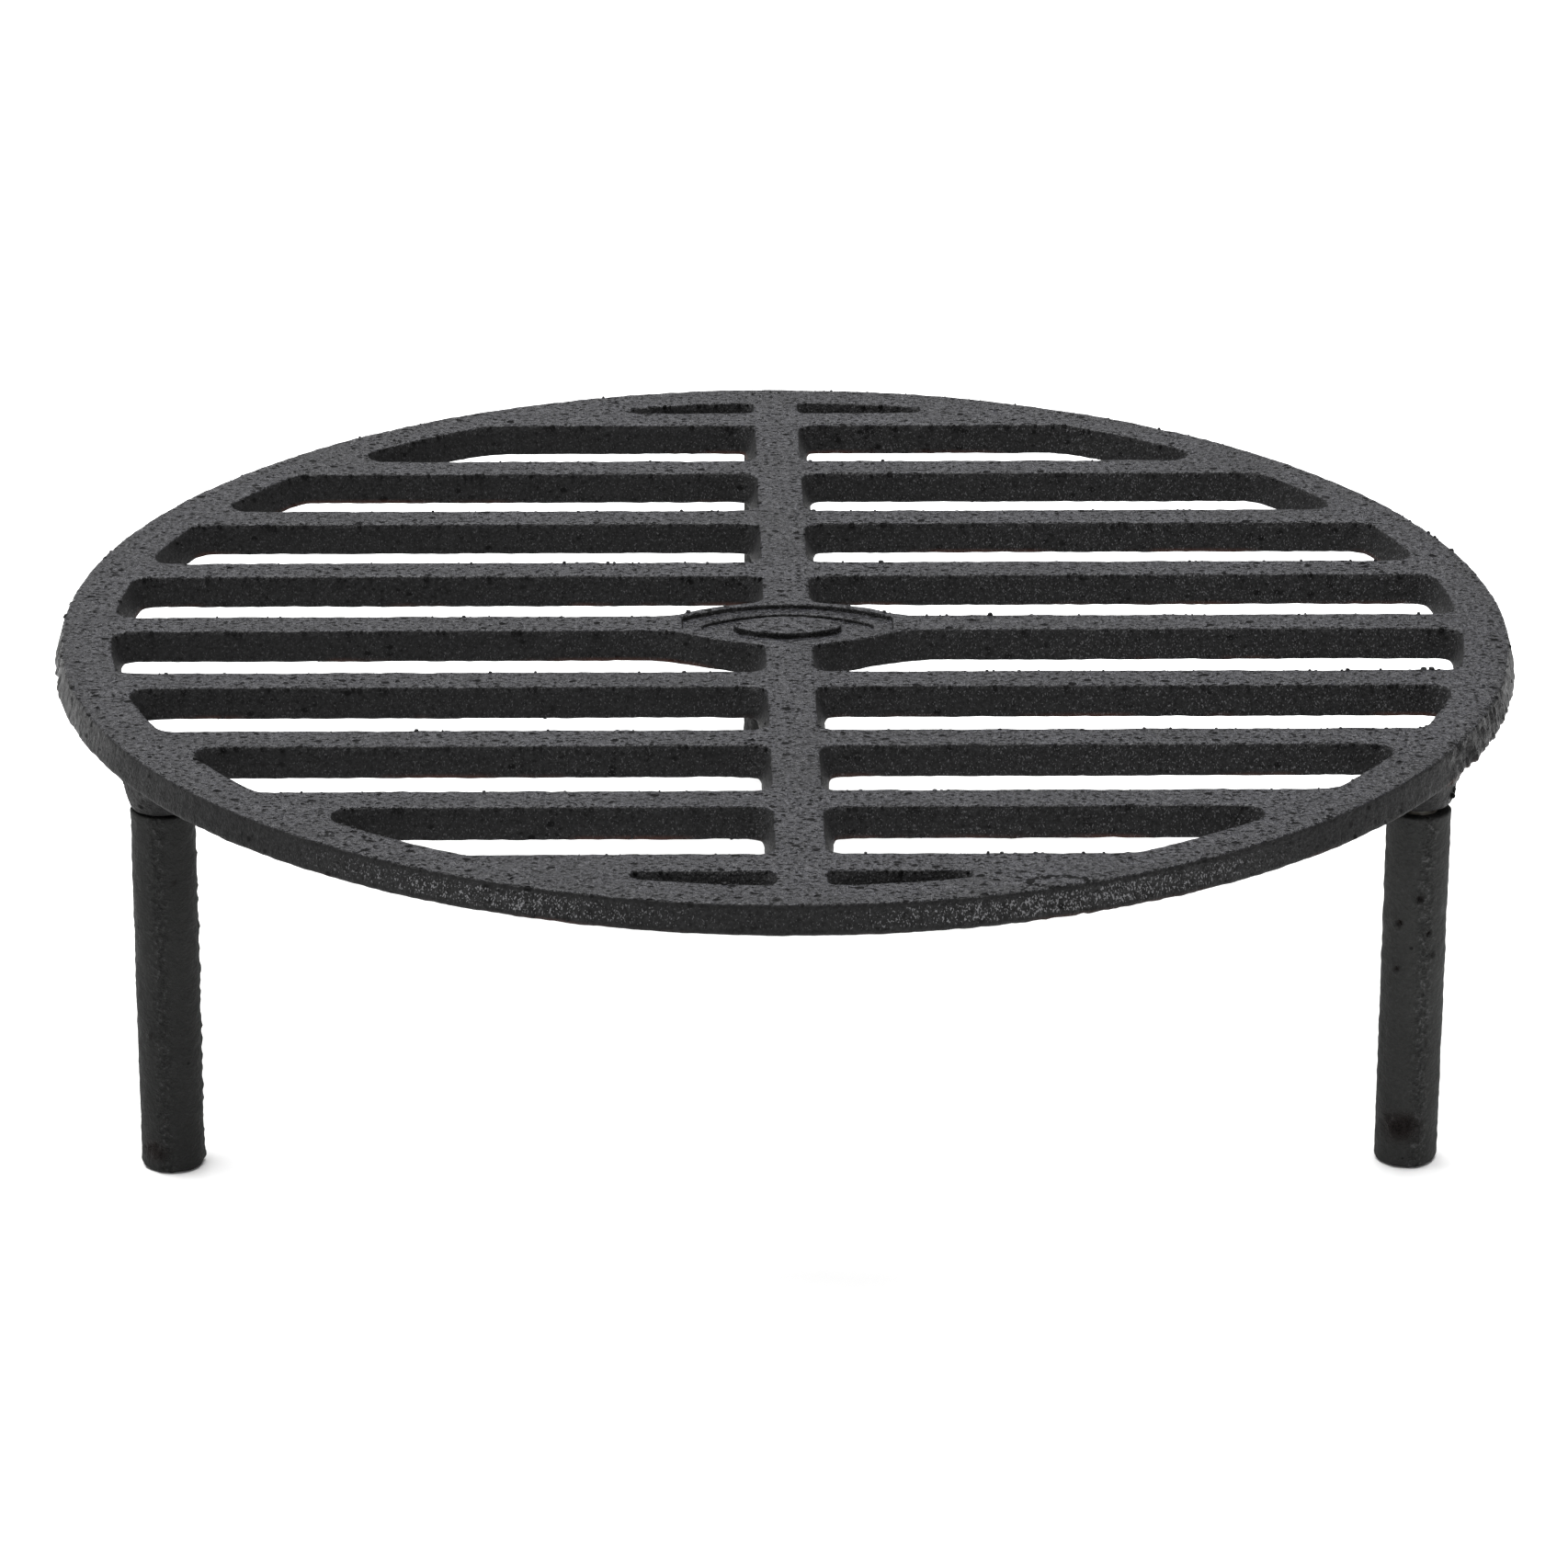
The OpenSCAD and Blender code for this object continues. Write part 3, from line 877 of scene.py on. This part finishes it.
def medallion_face(shell, medallion, grit, top):
    """Recess, ledge, deeper oval and plaque. Returns the ring where the recess leaves the top face"""
    edge, step = medallion.edge, 0.9 * MM
    recess_side = medallion.side_radius - medallion.lip
    recess_width = medallion.width - 2 * medallion.lip
    inner_width = recess_width - 2 * medallion.ledge
    recess = blunt_oval(medallion.recess_length / 2, recess_side, recess_width, 1.5 * MM, step)
    inner = oval(medallion.inner_length / 2, inner_width, medallion.inner_tip, step)
    plaque = oval(medallion.plaque_length / 2, medallion.plaque_width, medallion.plaque_tip, 0.8 * step)
    ledge_z, floor_z = top - medallion.recess_depth, top - medallion.recess_depth - medallion.ledge_drop
    plaque_z = top - medallion.plaque_sink
    lean = 0.3 * MM
    first, ledge_outer = shell.wall(
        recess, wall_profile(medallion.recess_depth, lean, edge, edge, 1, True), top
    )
    ledge_inner, floor_outer = shell.wall(
        inner, wall_profile(medallion.ledge_drop, lean / 2, edge * 0.8, edge * 0.8, 0, True), ledge_z
    )
    plaque_top, floor_inner = shell.wall(
        plaque, wall_profile(plaque_z - floor_z, lean, edge, edge, 1, True), plaque_z, outward=True
    )
    shell.fill(ledge_outer, [ledge_inner], 1.1 * MM, True, grit * 0.6)
    shell.fill(floor_outer, [floor_inner], 1.0 * MM, True, grit)
    shell.fill(plaque_top, [], 1.0 * MM, True, grit)
    return first


def build_boss(shell, centre, own, floor_z, under):
    """One boss: a closed shell from inside the rim to its flat foot, round its threaded hole"""
    boss, fillet, foot_r = own.boss, own.boss.fillet, own.boss.foot_radius
    way = round_way(96)[1]
    middle = np.array((centre.x, centre.y))
    height = under - floor_z
    tilt = math.atan2(boss.root_radius - foot_r, height)
    out = boss.root_radius + fillet * math.tan((math.pi / 2 - tilt) / 2)
    sunk = 0.5 * MM
    profile = [(out, under + sunk), (out, under)]
    for a in np.linspace(0, math.pi / 2 - tilt, 4)[1:]:
        profile.append((out - fillet * math.sin(a), under - fillet * (1 - math.cos(a))))
    edge = 0.45 * MM
    last = (foot_r + edge * 0.15, floor_z + edge)
    profile += [tuple(p) for p in np.linspace(profile[-1], last, 5)[1:]]
    profile += [(foot_r - edge * 0.35, floor_z + edge * 0.3), (foot_r - edge, floor_z)]
    limit = own.plate.radius - boss.outer_gap
    along = way @ middle
    reach = -along + np.sqrt(along**2 + limit**2 - middle @ middle)
    rings = []
    for radius, level in profile:
        clipped = np.minimum(radius, reach - max(0.0, radius - 12 * MM))
        rings.append(shell.ring(middle + way * clipped[:, None], level))
    shell.bands(rings, flipped=True)
    hole = threaded_hole(
        shell, centre, boss.hole_radius, own.stud.groove / 2, own.stud.pitch,
        floor_z + 0.6 * MM, under + sunk, closed=False,
    )
    mouth_ring = shell.ring(circle(middle, boss.hole_radius + 0.55 * MM, 40)[0], floor_z)
    shell.band(hole[0], mouth_ring)
    shell.fill(rings[-1], [mouth_ring], 1.3 * MM, False)
    shell.fill(rings[0], [hole[-1]], 2.5 * MM, True)


def scatter_marks(shell, loops, count, clear):
    """Random pits and pimples in the upper face, clear of its edges"""
    reach = abs(loops[0]).max()
    spots = shell.random.uniform(-reach, reach, (count * 4, 2))
    spots = spots[lies_inside(spots, loops[0]) & lies_outside(spots, loops[1:])]
    spots = far_from(spots, np.concatenate(loops), clear)
    marks, used = [], []
    for x, y in spots.tolist():
        if len(marks) == count or any(math.hypot(x - u, y - v) < 3.2 * MM for u, v in used):
            continue
        radius = shell.random.uniform(0.45, 0.85) * MM
        rise = radius * (shell.random.uniform(0.35, 0.6) if shell.random.random() < 0.45 else -0.55)
        marks.append((x, y, radius, rise))
        used.append((x, y))
    return marks


NODULES = (
    # Place of each nodule that stands out, its depth under the top face and its radius, in millimetres
    ((-27.4, 8.6), 0.1, 0.95),
    ((27.3, 48.1), 0.1, 0.95),
    ((38.6, 5.5), 0.1, 0.60),
    ((56.1, 5.6), 0.1, 0.90),
    ((-28.0, 48.2), 0.1, 0.60),
    ((-43.0, 5.6), 0.1, 0.55),
    ((172.0, -37.0), 0.2, 1.25),
    ((174.0, -37.0), 0.2, 1.15),
    ((176.0, -37.2), 0.4, 0.80),
    ((151.2, -37.1), 0.1, 0.65),
    ((189.6, 56.7), 0.2, 0.85),
    ((-197.8, 8.2), 0.7, 1.00),
    ((-190.3, 53.5), 0.2, 0.70),
    ((-197.2, 17.5), 0.4, 0.75),
    ((197.2, -18.0), 0.6, 0.95),
    ((-173.2, 68.6), 1.6, 0.50),
    ((-172.0, 68.4), 1.1, 0.50),
    ((-171.0, 67.8), 1.3, 0.45),
    ((-170.6, 66.9), 2.0, 0.45),
    ((83.6, -168.8), 0.1, 0.70),
    ((89.6, -165.8), 0.1, 0.60),
    ((173.9, -96.6), 9.0, 0.70),
    ((174.0, -97.6), 10.2, 0.85),
    ((173.8, -98.9), 11.6, 0.75),
)


def build_beads(slots, plate, finish, top, material):
    """Grains of moulding sand, half sunk along the edges of the slots and in the rim's outer wall"""
    shell = Shell(11)
    lean = plate.slot_lean / plate.thickness
    rim_r = plate.radius - plate.rim_lean
    points, normals = joined(slots)
    for number in range(finish.beads):
        radius = (0.24 + 0.52 * shell.random.random() ** 2) * MM
        if number % 6:
            pick = shell.random.integers(len(points))
            down = shell.random.choice([0.0, 0.1, 0.1, 0.2, 0.3, 0.4, 3.0, 7.3]) * MM
            flat = points[pick] + normals[pick] * (down * lean - 0.12 * MM)
        else:
            angle = shell.random.uniform(0, math.tau)
            down = shell.random.choice([0.1, 0.3, 0.6, 2.0, 4.5, 6.8]) * MM
            out = rim_r + down * plate.rim_lean / plate.thickness - 0.15 * MM
            flat = out * np.array((math.cos(angle), math.sin(angle)))
        shell.bead(np.array((*flat, top - down - 0.05 * MM)), radius)
    for (x, y), depth, radius in NODULES:
        shell.bead(np.array((x, y, top / MM - depth)) * MM, radius * MM)
    shell.points = core_shifted(shell.points, plate)
    thing = shell.piece("grate_plate_beads")
    heights = shell.points[:, 2]
    on_boss = heights < top - plate.thickness - 0.6 * MM
    put_number(thing.data, "grains", grain_light_and_shade_share(shell.points) * 0.5)
    # Beads above the upper face take part of its lighter paint: painted light from above
    put_number(thing.data, "up", np.where(heights > top + 0.1 * MM, 0.6, 0.0))
    put_number(thing.data, "scar", on_boss)
    put_number(thing.data, "slot", np.zeros(len(heights)))
    dress(thing, "plate", "grate_plate", material)


def round_plate(points):
    """Turn in degrees round the plate and distance from its middle of each point"""
    return np.degrees(np.arctan2(points[:, 1], points[:, 0])) % 360, apart(points, (0, 0))


def gate_scars(points, plate):
    """Where the rim's skin is torn: by the gate at its left, above the right leg, and at the front"""
    turn, radius = round_plate(points)
    on_wall = np.clip((radius - (plate.radius - 3.2 * MM)) / (1.2 * MM), 0, 1)
    left = bump_at(turn - 185, 8) + 0.5 * bump_at(turn - 198, 14)
    right = 0.8 * bump_at(turn - 342, 20) + bump_at(turn - 333, 3.5)
    front = 0.50 * bump_at(turn - 291, 24) + 0.30 * bump_at(turn - 248, 18)
    return on_wall * np.clip(left + right + front, 0, 1)


def core_shifted(points, plate):
    """Moves what lies inside the rim to the right, as the mould's core has done, and most at the left"""
    rim_r = plate.radius - plate.rim_lean
    inside = np.clip((rim_r - apart(points, (0, 0))) / plate.rim_width, 0, 1)
    in_plate = points[:, 2] > under_plate() - 0.01 * MM
    moved = points.copy()
    moved[:, 0] += plate.core_shift * inside * (1 - points[:, 0] / plate.radius) * in_plate
    moved[:, 0] = np.where(leg_distance(points) > 7 * MM, moved[:, 0], points[:, 0])
    return moved


def leg_distance(points):
    """How far each point lies from the axis of the nearest leg"""
    return np.min([apart(points, leg_centre(place)) for place in LEG_PLACES], 0)


def grain_light_and_shade_share(points):
    """How thickly the pale grains and painted glints lie on the walls: thicker at the right as painted
    light from the right, in patches round the rim, and less round the rim's outer edge as painted shade
    """
    turn, radius = round_plate(points)
    patches = 1.9 * bump_at(turn - 290, 30) + 1.5 * bump_at(turn - 247, 28) + 0.5 * bump_at(turn - 338, 24)
    down, rise = PLATE_HIGH.z - points[:, 2], points[:, 2] - under_plate()
    middle = np.clip(down / MM - 0.7, 0, 1) * np.clip(rise / MM - 0.8, 0, 1)
    # Painted light from the right: the walls' grains, glints and tone rise towards +X
    in_slots = 0.12 + 0.28 * np.clip(points[:, 0] / (240 * MM) + 0.5, 0, 1)
    # Round the rim's outer edge the share drops by 0.4, which paints the rim's outer wall darker as painted
    # shade; its patches hold pale grains and painted glints
    return np.where(radius > settings().plate.radius - 6 * MM, patches * middle - 0.4, in_slots)


def build_plate():
    """The casting: grille, rim, medallion and bosses in one skin"""
    own = settings()
    plate, finish = own.plate, own.finish
    top, under = PLATE_HIGH.z, under_plate()
    shell = Shell(7)
    slots = all_slots(plate, own.medallion, step=1.75 * MM, fine=1.0 * MM)
    thick, lean, worn = plate.thickness, plate.slot_lean, plate.worn_back
    slot_wall = wall_profile(thick, lean, plate.top_edge, plate.foot_edge, 3, arcs=3)
    soft_wall = wall_profile(thick, lean + worn, plate.worn_edge, plate.foot_edge, 3, arcs=3)
    soft_wall = [(out - worn, down) for out, down in soft_wall]
    ends = [shell.wall(outline, slot_wall, top, softer=soft_wall) for outline in slots]
    rim_points = 1100
    rim = circle((0, 0), plate.radius - plate.rim_lean, rim_points)
    rim_wall = wall_profile(thick, plate.rim_lean, plate.rim_edge, plate.rim_edge, 5)
    rim_top, rim_low = shell.wall(rim, rim_wall, top, outward=True)
    recess = medallion_face(shell, own.medallion, finish.grit, top)
    top_rings = [first for first, last in ends] + [recess]
    loops = [shell.points[ring][:, :2] for ring in [rim_top] + top_rings]
    marks = scatter_marks(shell, loops, finish.marks, 1.15 * MM)
    shell.fill(rim_top, top_rings, 1.3 * MM, True, finish.grit, marks)
    holes = []
    for place in LEG_PLACES:
        centre = leg_centre(place)
        build_boss(shell, centre, own, PLATE_LOW.z, under)
        rings = threaded_hole(
            shell, centre, own.boss.hole_radius + 0.02 * MM, own.stud.groove / 2, own.stud.pitch,
            under, PLATE_LOW.z + own.boss.hole_depth, closed=True,
        )
        holes.append(rings[0])
    shell.fill(rim_low, [last for first, last in ends] + holes, 3.0 * MM, False)
    shell.points = core_shifted(shell.points, plate)
    thing = shell.piece("grate_plate_casting")
    points = mesh_points(thing.data)
    open_skin = (leg_distance(points) > own.boss.hole_radius + 1 * MM) | (points[:, 2] > top - 1 * MM)
    # The grains number carries painted light and painted shade as well as the grains
    put_number(thing.data, "grains", grain_light_and_shade_share(points))
    roughen(thing.data, finish, 3, finish.skin * open_skin, gate_scars(points, plate))
    inside = apart(points, (0, 0)) < plate.radius - plate.rim_lean - plate.rim_width + 1 * MM
    put_number(thing.data, "slot", np.where(inside, 1.0, 0.7) * (points[:, 2] > under - 0.3 * MM))
    material = plate_paint(finish)
    dress(thing, "plate", "grate_plate", material)
    build_beads(slots, plate, finish, top, material)


class LegMarks:
    """Marks of one leg: turns in degrees, heights and pits in millimetres"""

    def __init__(self, seam_turn, scar_turn, scar_height, scar_size, paleness, pits=()):
        self.seam_turn = seam_turn
        self.scar_turn = scar_turn
        self.scar_height = scar_height
        self.scar_size = scar_size
        self.paleness = paleness
        self.pits = pits


# Each pit is given by its turn, height and size
LEG_MARKS = {
    "front_left": LegMarks(-99, -124, 6.3, 1.05, 1.0, ((-70, 84.0, 1.0), (-120, 40.0, 1.0))),
    "front_right": LegMarks(
        -76, -110, 12.2, 1.6, 1.5,
        ((-125, 71.0, 2.2), (-126, 58.0, 1.7), (-89, 78.6, 1.7), (-70, 68.5, 1.3), (-60, 62.0, 1.1)),
    ),
    "rear": LegMarks(40, 140, 9.0, 0.8, 1.1),
}


def leg_skin(marks, turn, height):
    """Lift in metres, scar, seam and flash of a leg's skin at a turn in degrees and a height"""
    radius = settings().leg.radius

    def gap(angle):
        """Way round the leg in metres from a turn to each point"""
        return np.radians((turn - angle + 180) % 360 - 180) * radius

    seam_turn, size = marks.seam_turn, marks.scar_size
    seam = bump_at(gap(seam_turn), 3.8 * MM) + bump_at(gap(seam_turn + 180), 3.2 * MM)
    flash = bump_at(gap(seam_turn + 103), 1.8 * MM) + 0.5 * bump_at(gap(seam_turn - 90), 1.8 * MM)
    across = gap(marks.scar_turn) / (4.6 * MM * size)
    far = np.hypot(across, (height - marks.scar_height * MM) / (3.4 * MM * size))
    scar = bump_at(far, 1.25)
    ring = bump_at(far - 0.95, 0.3)
    lift = (0.05 * seam - 0.30 * bump_at(far, 0.9) + 0.16 * ring) * MM
    for pit_turn, pit_height, pit_size in marks.pits:
        away = np.hypot(gap(pit_turn), height - pit_height * MM) / (pit_size * MM)
        lift = lift + (0.45 * bump_at(away - 0.8, 0.5) - 0.7 * bump_at(away, 0.8)) * MM
        # The pits also darken through the scar: painted shade in their hollows
        scar = scar + 0.8 * bump_at(away, 0.8)
    return lift, np.clip(scar * 1.4, 0, 1), np.clip(seam, 0, 1), flash


def build_leg(place, number, material):
    """One leg: a slightly tapered cast pin with a rounded foot and a hole for its stud"""
    own = settings()
    leg, hole_r = own.leg, own.boss.hole_radius
    low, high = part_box("leg_" + place)
    stud_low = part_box("stud_" + place)[0].z
    centre, marks = leg_centre(place), LEG_MARKS[place]
    shell = Shell(20 + number)
    way = round_way(84)[1]
    foot_r = leg.radius - leg.taper
    profile = edge_points((foot_r - leg.foot_edge, leg.foot_edge), leg.foot_edge, -math.pi / 2, 0, 6)
    top = high.z - low.z
    profile += [
        (foot_r + leg.taper * h / top, h)
        for h in np.linspace(leg.foot_edge, top - leg.top_edge, 120)[1:-1]
    ]
    profile += edge_points((leg.radius - leg.top_edge, top - leg.top_edge), leg.top_edge, 0, math.pi / 2, 4)
    rings = [
        shell.ring(way * radius + (centre.x, centre.y), low.z + height) for radius, height in profile
    ]
    shell.bands(rings)
    mouth = shell.ring(way * (hole_r + 0.5 * MM) + (centre.x, centre.y), high.z)
    hole = [
        shell.ring(way * hole_r + (centre.x, centre.y), height)
        for height in np.linspace(high.z - 0.5 * MM, stud_low, 8)
    ]
    shell.fill(rings[-1], [mouth], 1.3 * MM, True)
    shell.bands([mouth] + hole)
    shell.fan(hole[-1], (centre.x, centre.y, stud_low))
    shell.fill(rings[0], [], 1.6 * MM, False)
    thing = shell.piece(f"leg_{place}_casting")
    points = mesh_points(thing.data)
    turn = np.degrees(np.arctan2(points[:, 1] - centre.y, points[:, 0] - centre.x))
    outside = apart(points, centre) > hole_r + 1 * MM
    lift, scar, seam, flash = leg_skin(marks, turn, points[:, 2])
    bumps = np.clip(waves(points, 1.9 * MM, 40 + number), 0, 1) * (0.16 + seam * 0.45 + flash * 0.7) * MM
    roughen(thing.data, own.finish, 30 + number, (lift + bumps) * outside, scar * outside)
    put_number(thing.data, "seam", seam * outside)
    put_number(thing.data, "paleness", np.full(len(points), marks.paleness))
    dress(thing, f"leg_{place}_body", f"leg_{place}", material)


def build_stud(place, number, material):
    """One stud: a right-handed thread from end to end, with bevelled ends"""
    stud = settings().stud
    low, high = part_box("stud_" + place)
    centre = (low + high) / 2
    radius = (high.x - low.x) / 2
    shell = Shell(60 + number)
    angle, way = round_way(36)
    rings = []
    for height in np.linspace(low.z, high.z, round((high.z - low.z) / stud.pitch * 7)):
        end = min(height - low.z, high.z - height)
        wide = radius - stud.groove * thread_depth(angle, height, stud.pitch)
        wide = np.minimum(wide, radius - stud.bevel + end)
        rings.append(shell.ring(way * wide[:, None] + (centre.x, centre.y), height))
    shell.bands(rings)
    shell.fan(rings[-1], (centre.x, centre.y, high.z))
    shell.fan(rings[0][::-1], (centre.x, centre.y, low.z))
    thing = shell.piece(f"stud_{place}_thread")
    dress(thing, f"stud_{place}_body", f"stud_{place}", material)


# Stage

SUN_TURN = (math.radians(-12), math.radians(-8), 0)
LIT_PLACE = Vector((0, 0, 0.1))
SOFT_BOXES = {
    # Place, width, depth and strength of each light that faces the grate
    "back_light": ((-0.45, 3.2, 1.45), 3.4, 0.9, 5.5),
    "left_light": ((-2.2, 0.2, 0.7), 1.2, 1.0, 1.0),
    "right_light": ((2.2, -0.2, 0.7), 1.2, 1.0, 0.3),
    "front_right_light": ((1.75, -1.75, 0.45), 0.9, 0.7, 9.0),
    "front_left_light": ((-1.9, -1.6, 0.45), 0.7, 0.7, 4.0),
}


def soft_box(name, place, width, depth, strength):
    """Rectangular light that faces the grate"""
    data = bpy.data.lights.new(name, "AREA")
    data.shape = "RECTANGLE"
    data.size, data.size_y = width, depth
    data.energy = strength * width * depth
    lamp = add_object(name, data)
    lamp.location = place
    lamp.rotation_euler = (LIT_PLACE - Vector(place)).to_track_quat("-Z", "Y").to_euler()


def build_stage():
    """Pale floor, soft light and the camera at the photograph's angle"""
    studio = settings().studio
    half = studio.floor / 2
    mesh = bpy.data.meshes.new("floor")
    corners = [(-half, -half, 0), (half, -half, 0), (half, half, 0), (-half, half, 0)]
    mesh.from_pydata(corners, [], [(0, 1, 2, 3)])
    floor = add_object("floor", mesh)
    mesh.materials.append(floor_white(studio))

    world = bpy.data.worlds.new("studio")
    world.use_nodes = True
    background = world.node_tree.nodes["Background"]
    background.inputs["Color"].default_value = (1.0, 1.0, 1.0, 1.0)
    background.inputs["Strength"].default_value = studio.sky
    bpy.context.scene.world = world

    sun = bpy.data.lights.new("overhead", "SUN")
    sun.energy = studio.sun
    sun.angle = math.radians(studio.sun_width)
    add_object("overhead", sun).rotation_euler = SUN_TURN
    for name, light in SOFT_BOXES.items():
        soft_box(name, *light)

    view = bpy.context.scene.view_settings
    view.view_transform = "Standard"
    view.look = "None"

    data = bpy.data.cameras.new("camera")
    data.sensor_width = 36
    data.lens = studio.lens
    data.clip_start, data.clip_end = 0.05, 60
    camera = add_object("camera", data)
    camera.matrix_world = camera_place(studio)
    bpy.context.scene.camera = camera


def camera_place(studio):
    """Matrix of a camera that looks down by pitch, right by yaw and is turned by roll"""
    down, side, turn = (math.radians(a) for a in (studio.pitch, studio.yaw, studio.roll))
    right = Vector((math.cos(side), -math.sin(side), 0))
    up = Vector((math.sin(down) * math.sin(side), math.sin(down) * math.cos(side), math.cos(down)))
    forward = Vector((math.cos(down) * math.sin(side), math.cos(down) * math.cos(side), -math.sin(down)))
    own_x = math.cos(turn) * right - math.sin(turn) * up
    own_y = math.sin(turn) * right + math.cos(turn) * up
    turned = Matrix((own_x, own_y, -forward)).transposed().to_4x4()
    return Matrix.Translation(studio.camera) @ turned


# Operators and panel

class GRATE_OT_plate(bpy.types.Operator):
    """Build the cast plate with its grille, medallion and bosses"""

    bl_idname = "grate.plate"
    bl_label = "Cast Plate"

    def execute(self, context):
        build_plate()
        return {"FINISHED"}


class GRATE_OT_legs(bpy.types.Operator):
    """Build the three legs"""

    bl_idname = "grate.legs"
    bl_label = "Legs"

    def execute(self, context):
        material = leg_paint(settings().finish)
        for number, place in enumerate(LEG_PLACES):
            build_leg(place, number, material)
        return {"FINISHED"}


class GRATE_OT_studs(bpy.types.Operator):
    """Build the three threaded studs"""

    bl_idname = "grate.studs"
    bl_label = "Studs"

    def execute(self, context):
        material = stud_steel(settings().finish)
        for number, place in enumerate(LEG_PLACES):
            build_stud(place, number, material)
        return {"FINISHED"}


class GRATE_OT_stage(bpy.types.Operator):
    """Set up the floor, the lights and the camera"""

    bl_idname = "grate.stage"
    bl_label = "Stage"

    def execute(self, context):
        build_stage()
        return {"FINISHED"}


class GRATE_PT_panel(bpy.types.Panel):
    """Sizes, colours and build buttons of the grate"""

    bl_label = "Round Cast Grate"
    bl_space_type = "VIEW_3D"
    bl_region_type = "UI"
    bl_category = "Grate"

    def draw(self, context):
        for operator in OPERATORS:
            self.layout.operator(operator.bl_idname)
        for name in GrateSettings.__annotations__:
            box = self.layout.box()
            box.label(text=name.capitalize())
            group = getattr(context.scene.grate, name)
            for size in type(group).__annotations__:
                box.prop(group, size)


OPERATORS = (GRATE_OT_plate, GRATE_OT_legs, GRATE_OT_studs, GRATE_OT_stage)
SIZES = (PlateSizes, MedallionSizes, BossSizes, LegSizes, StudSizes)
CLASSES = (*SIZES, CastFinish, StudioSizes, GrateSettings, *OPERATORS, GRATE_PT_panel)


def register():
    """Makes the settings, operators and panel known to Blender"""
    for cls in CLASSES:
        bpy.utils.register_class(cls)
    bpy.types.Scene.grate = PointerProperty(type=GrateSettings)


def unregister():
    """Takes the settings, operators and panel away again"""
    del bpy.types.Scene.grate
    for cls in reversed(CLASSES):
        bpy.utils.unregister_class(cls)


def main():
    """Builds every piece in order"""
    register()
    bpy.ops.grate.stage()
    bpy.ops.grate.plate()
    bpy.ops.grate.legs()
    bpy.ops.grate.studs()


if __name__ == "__main__":
    main()
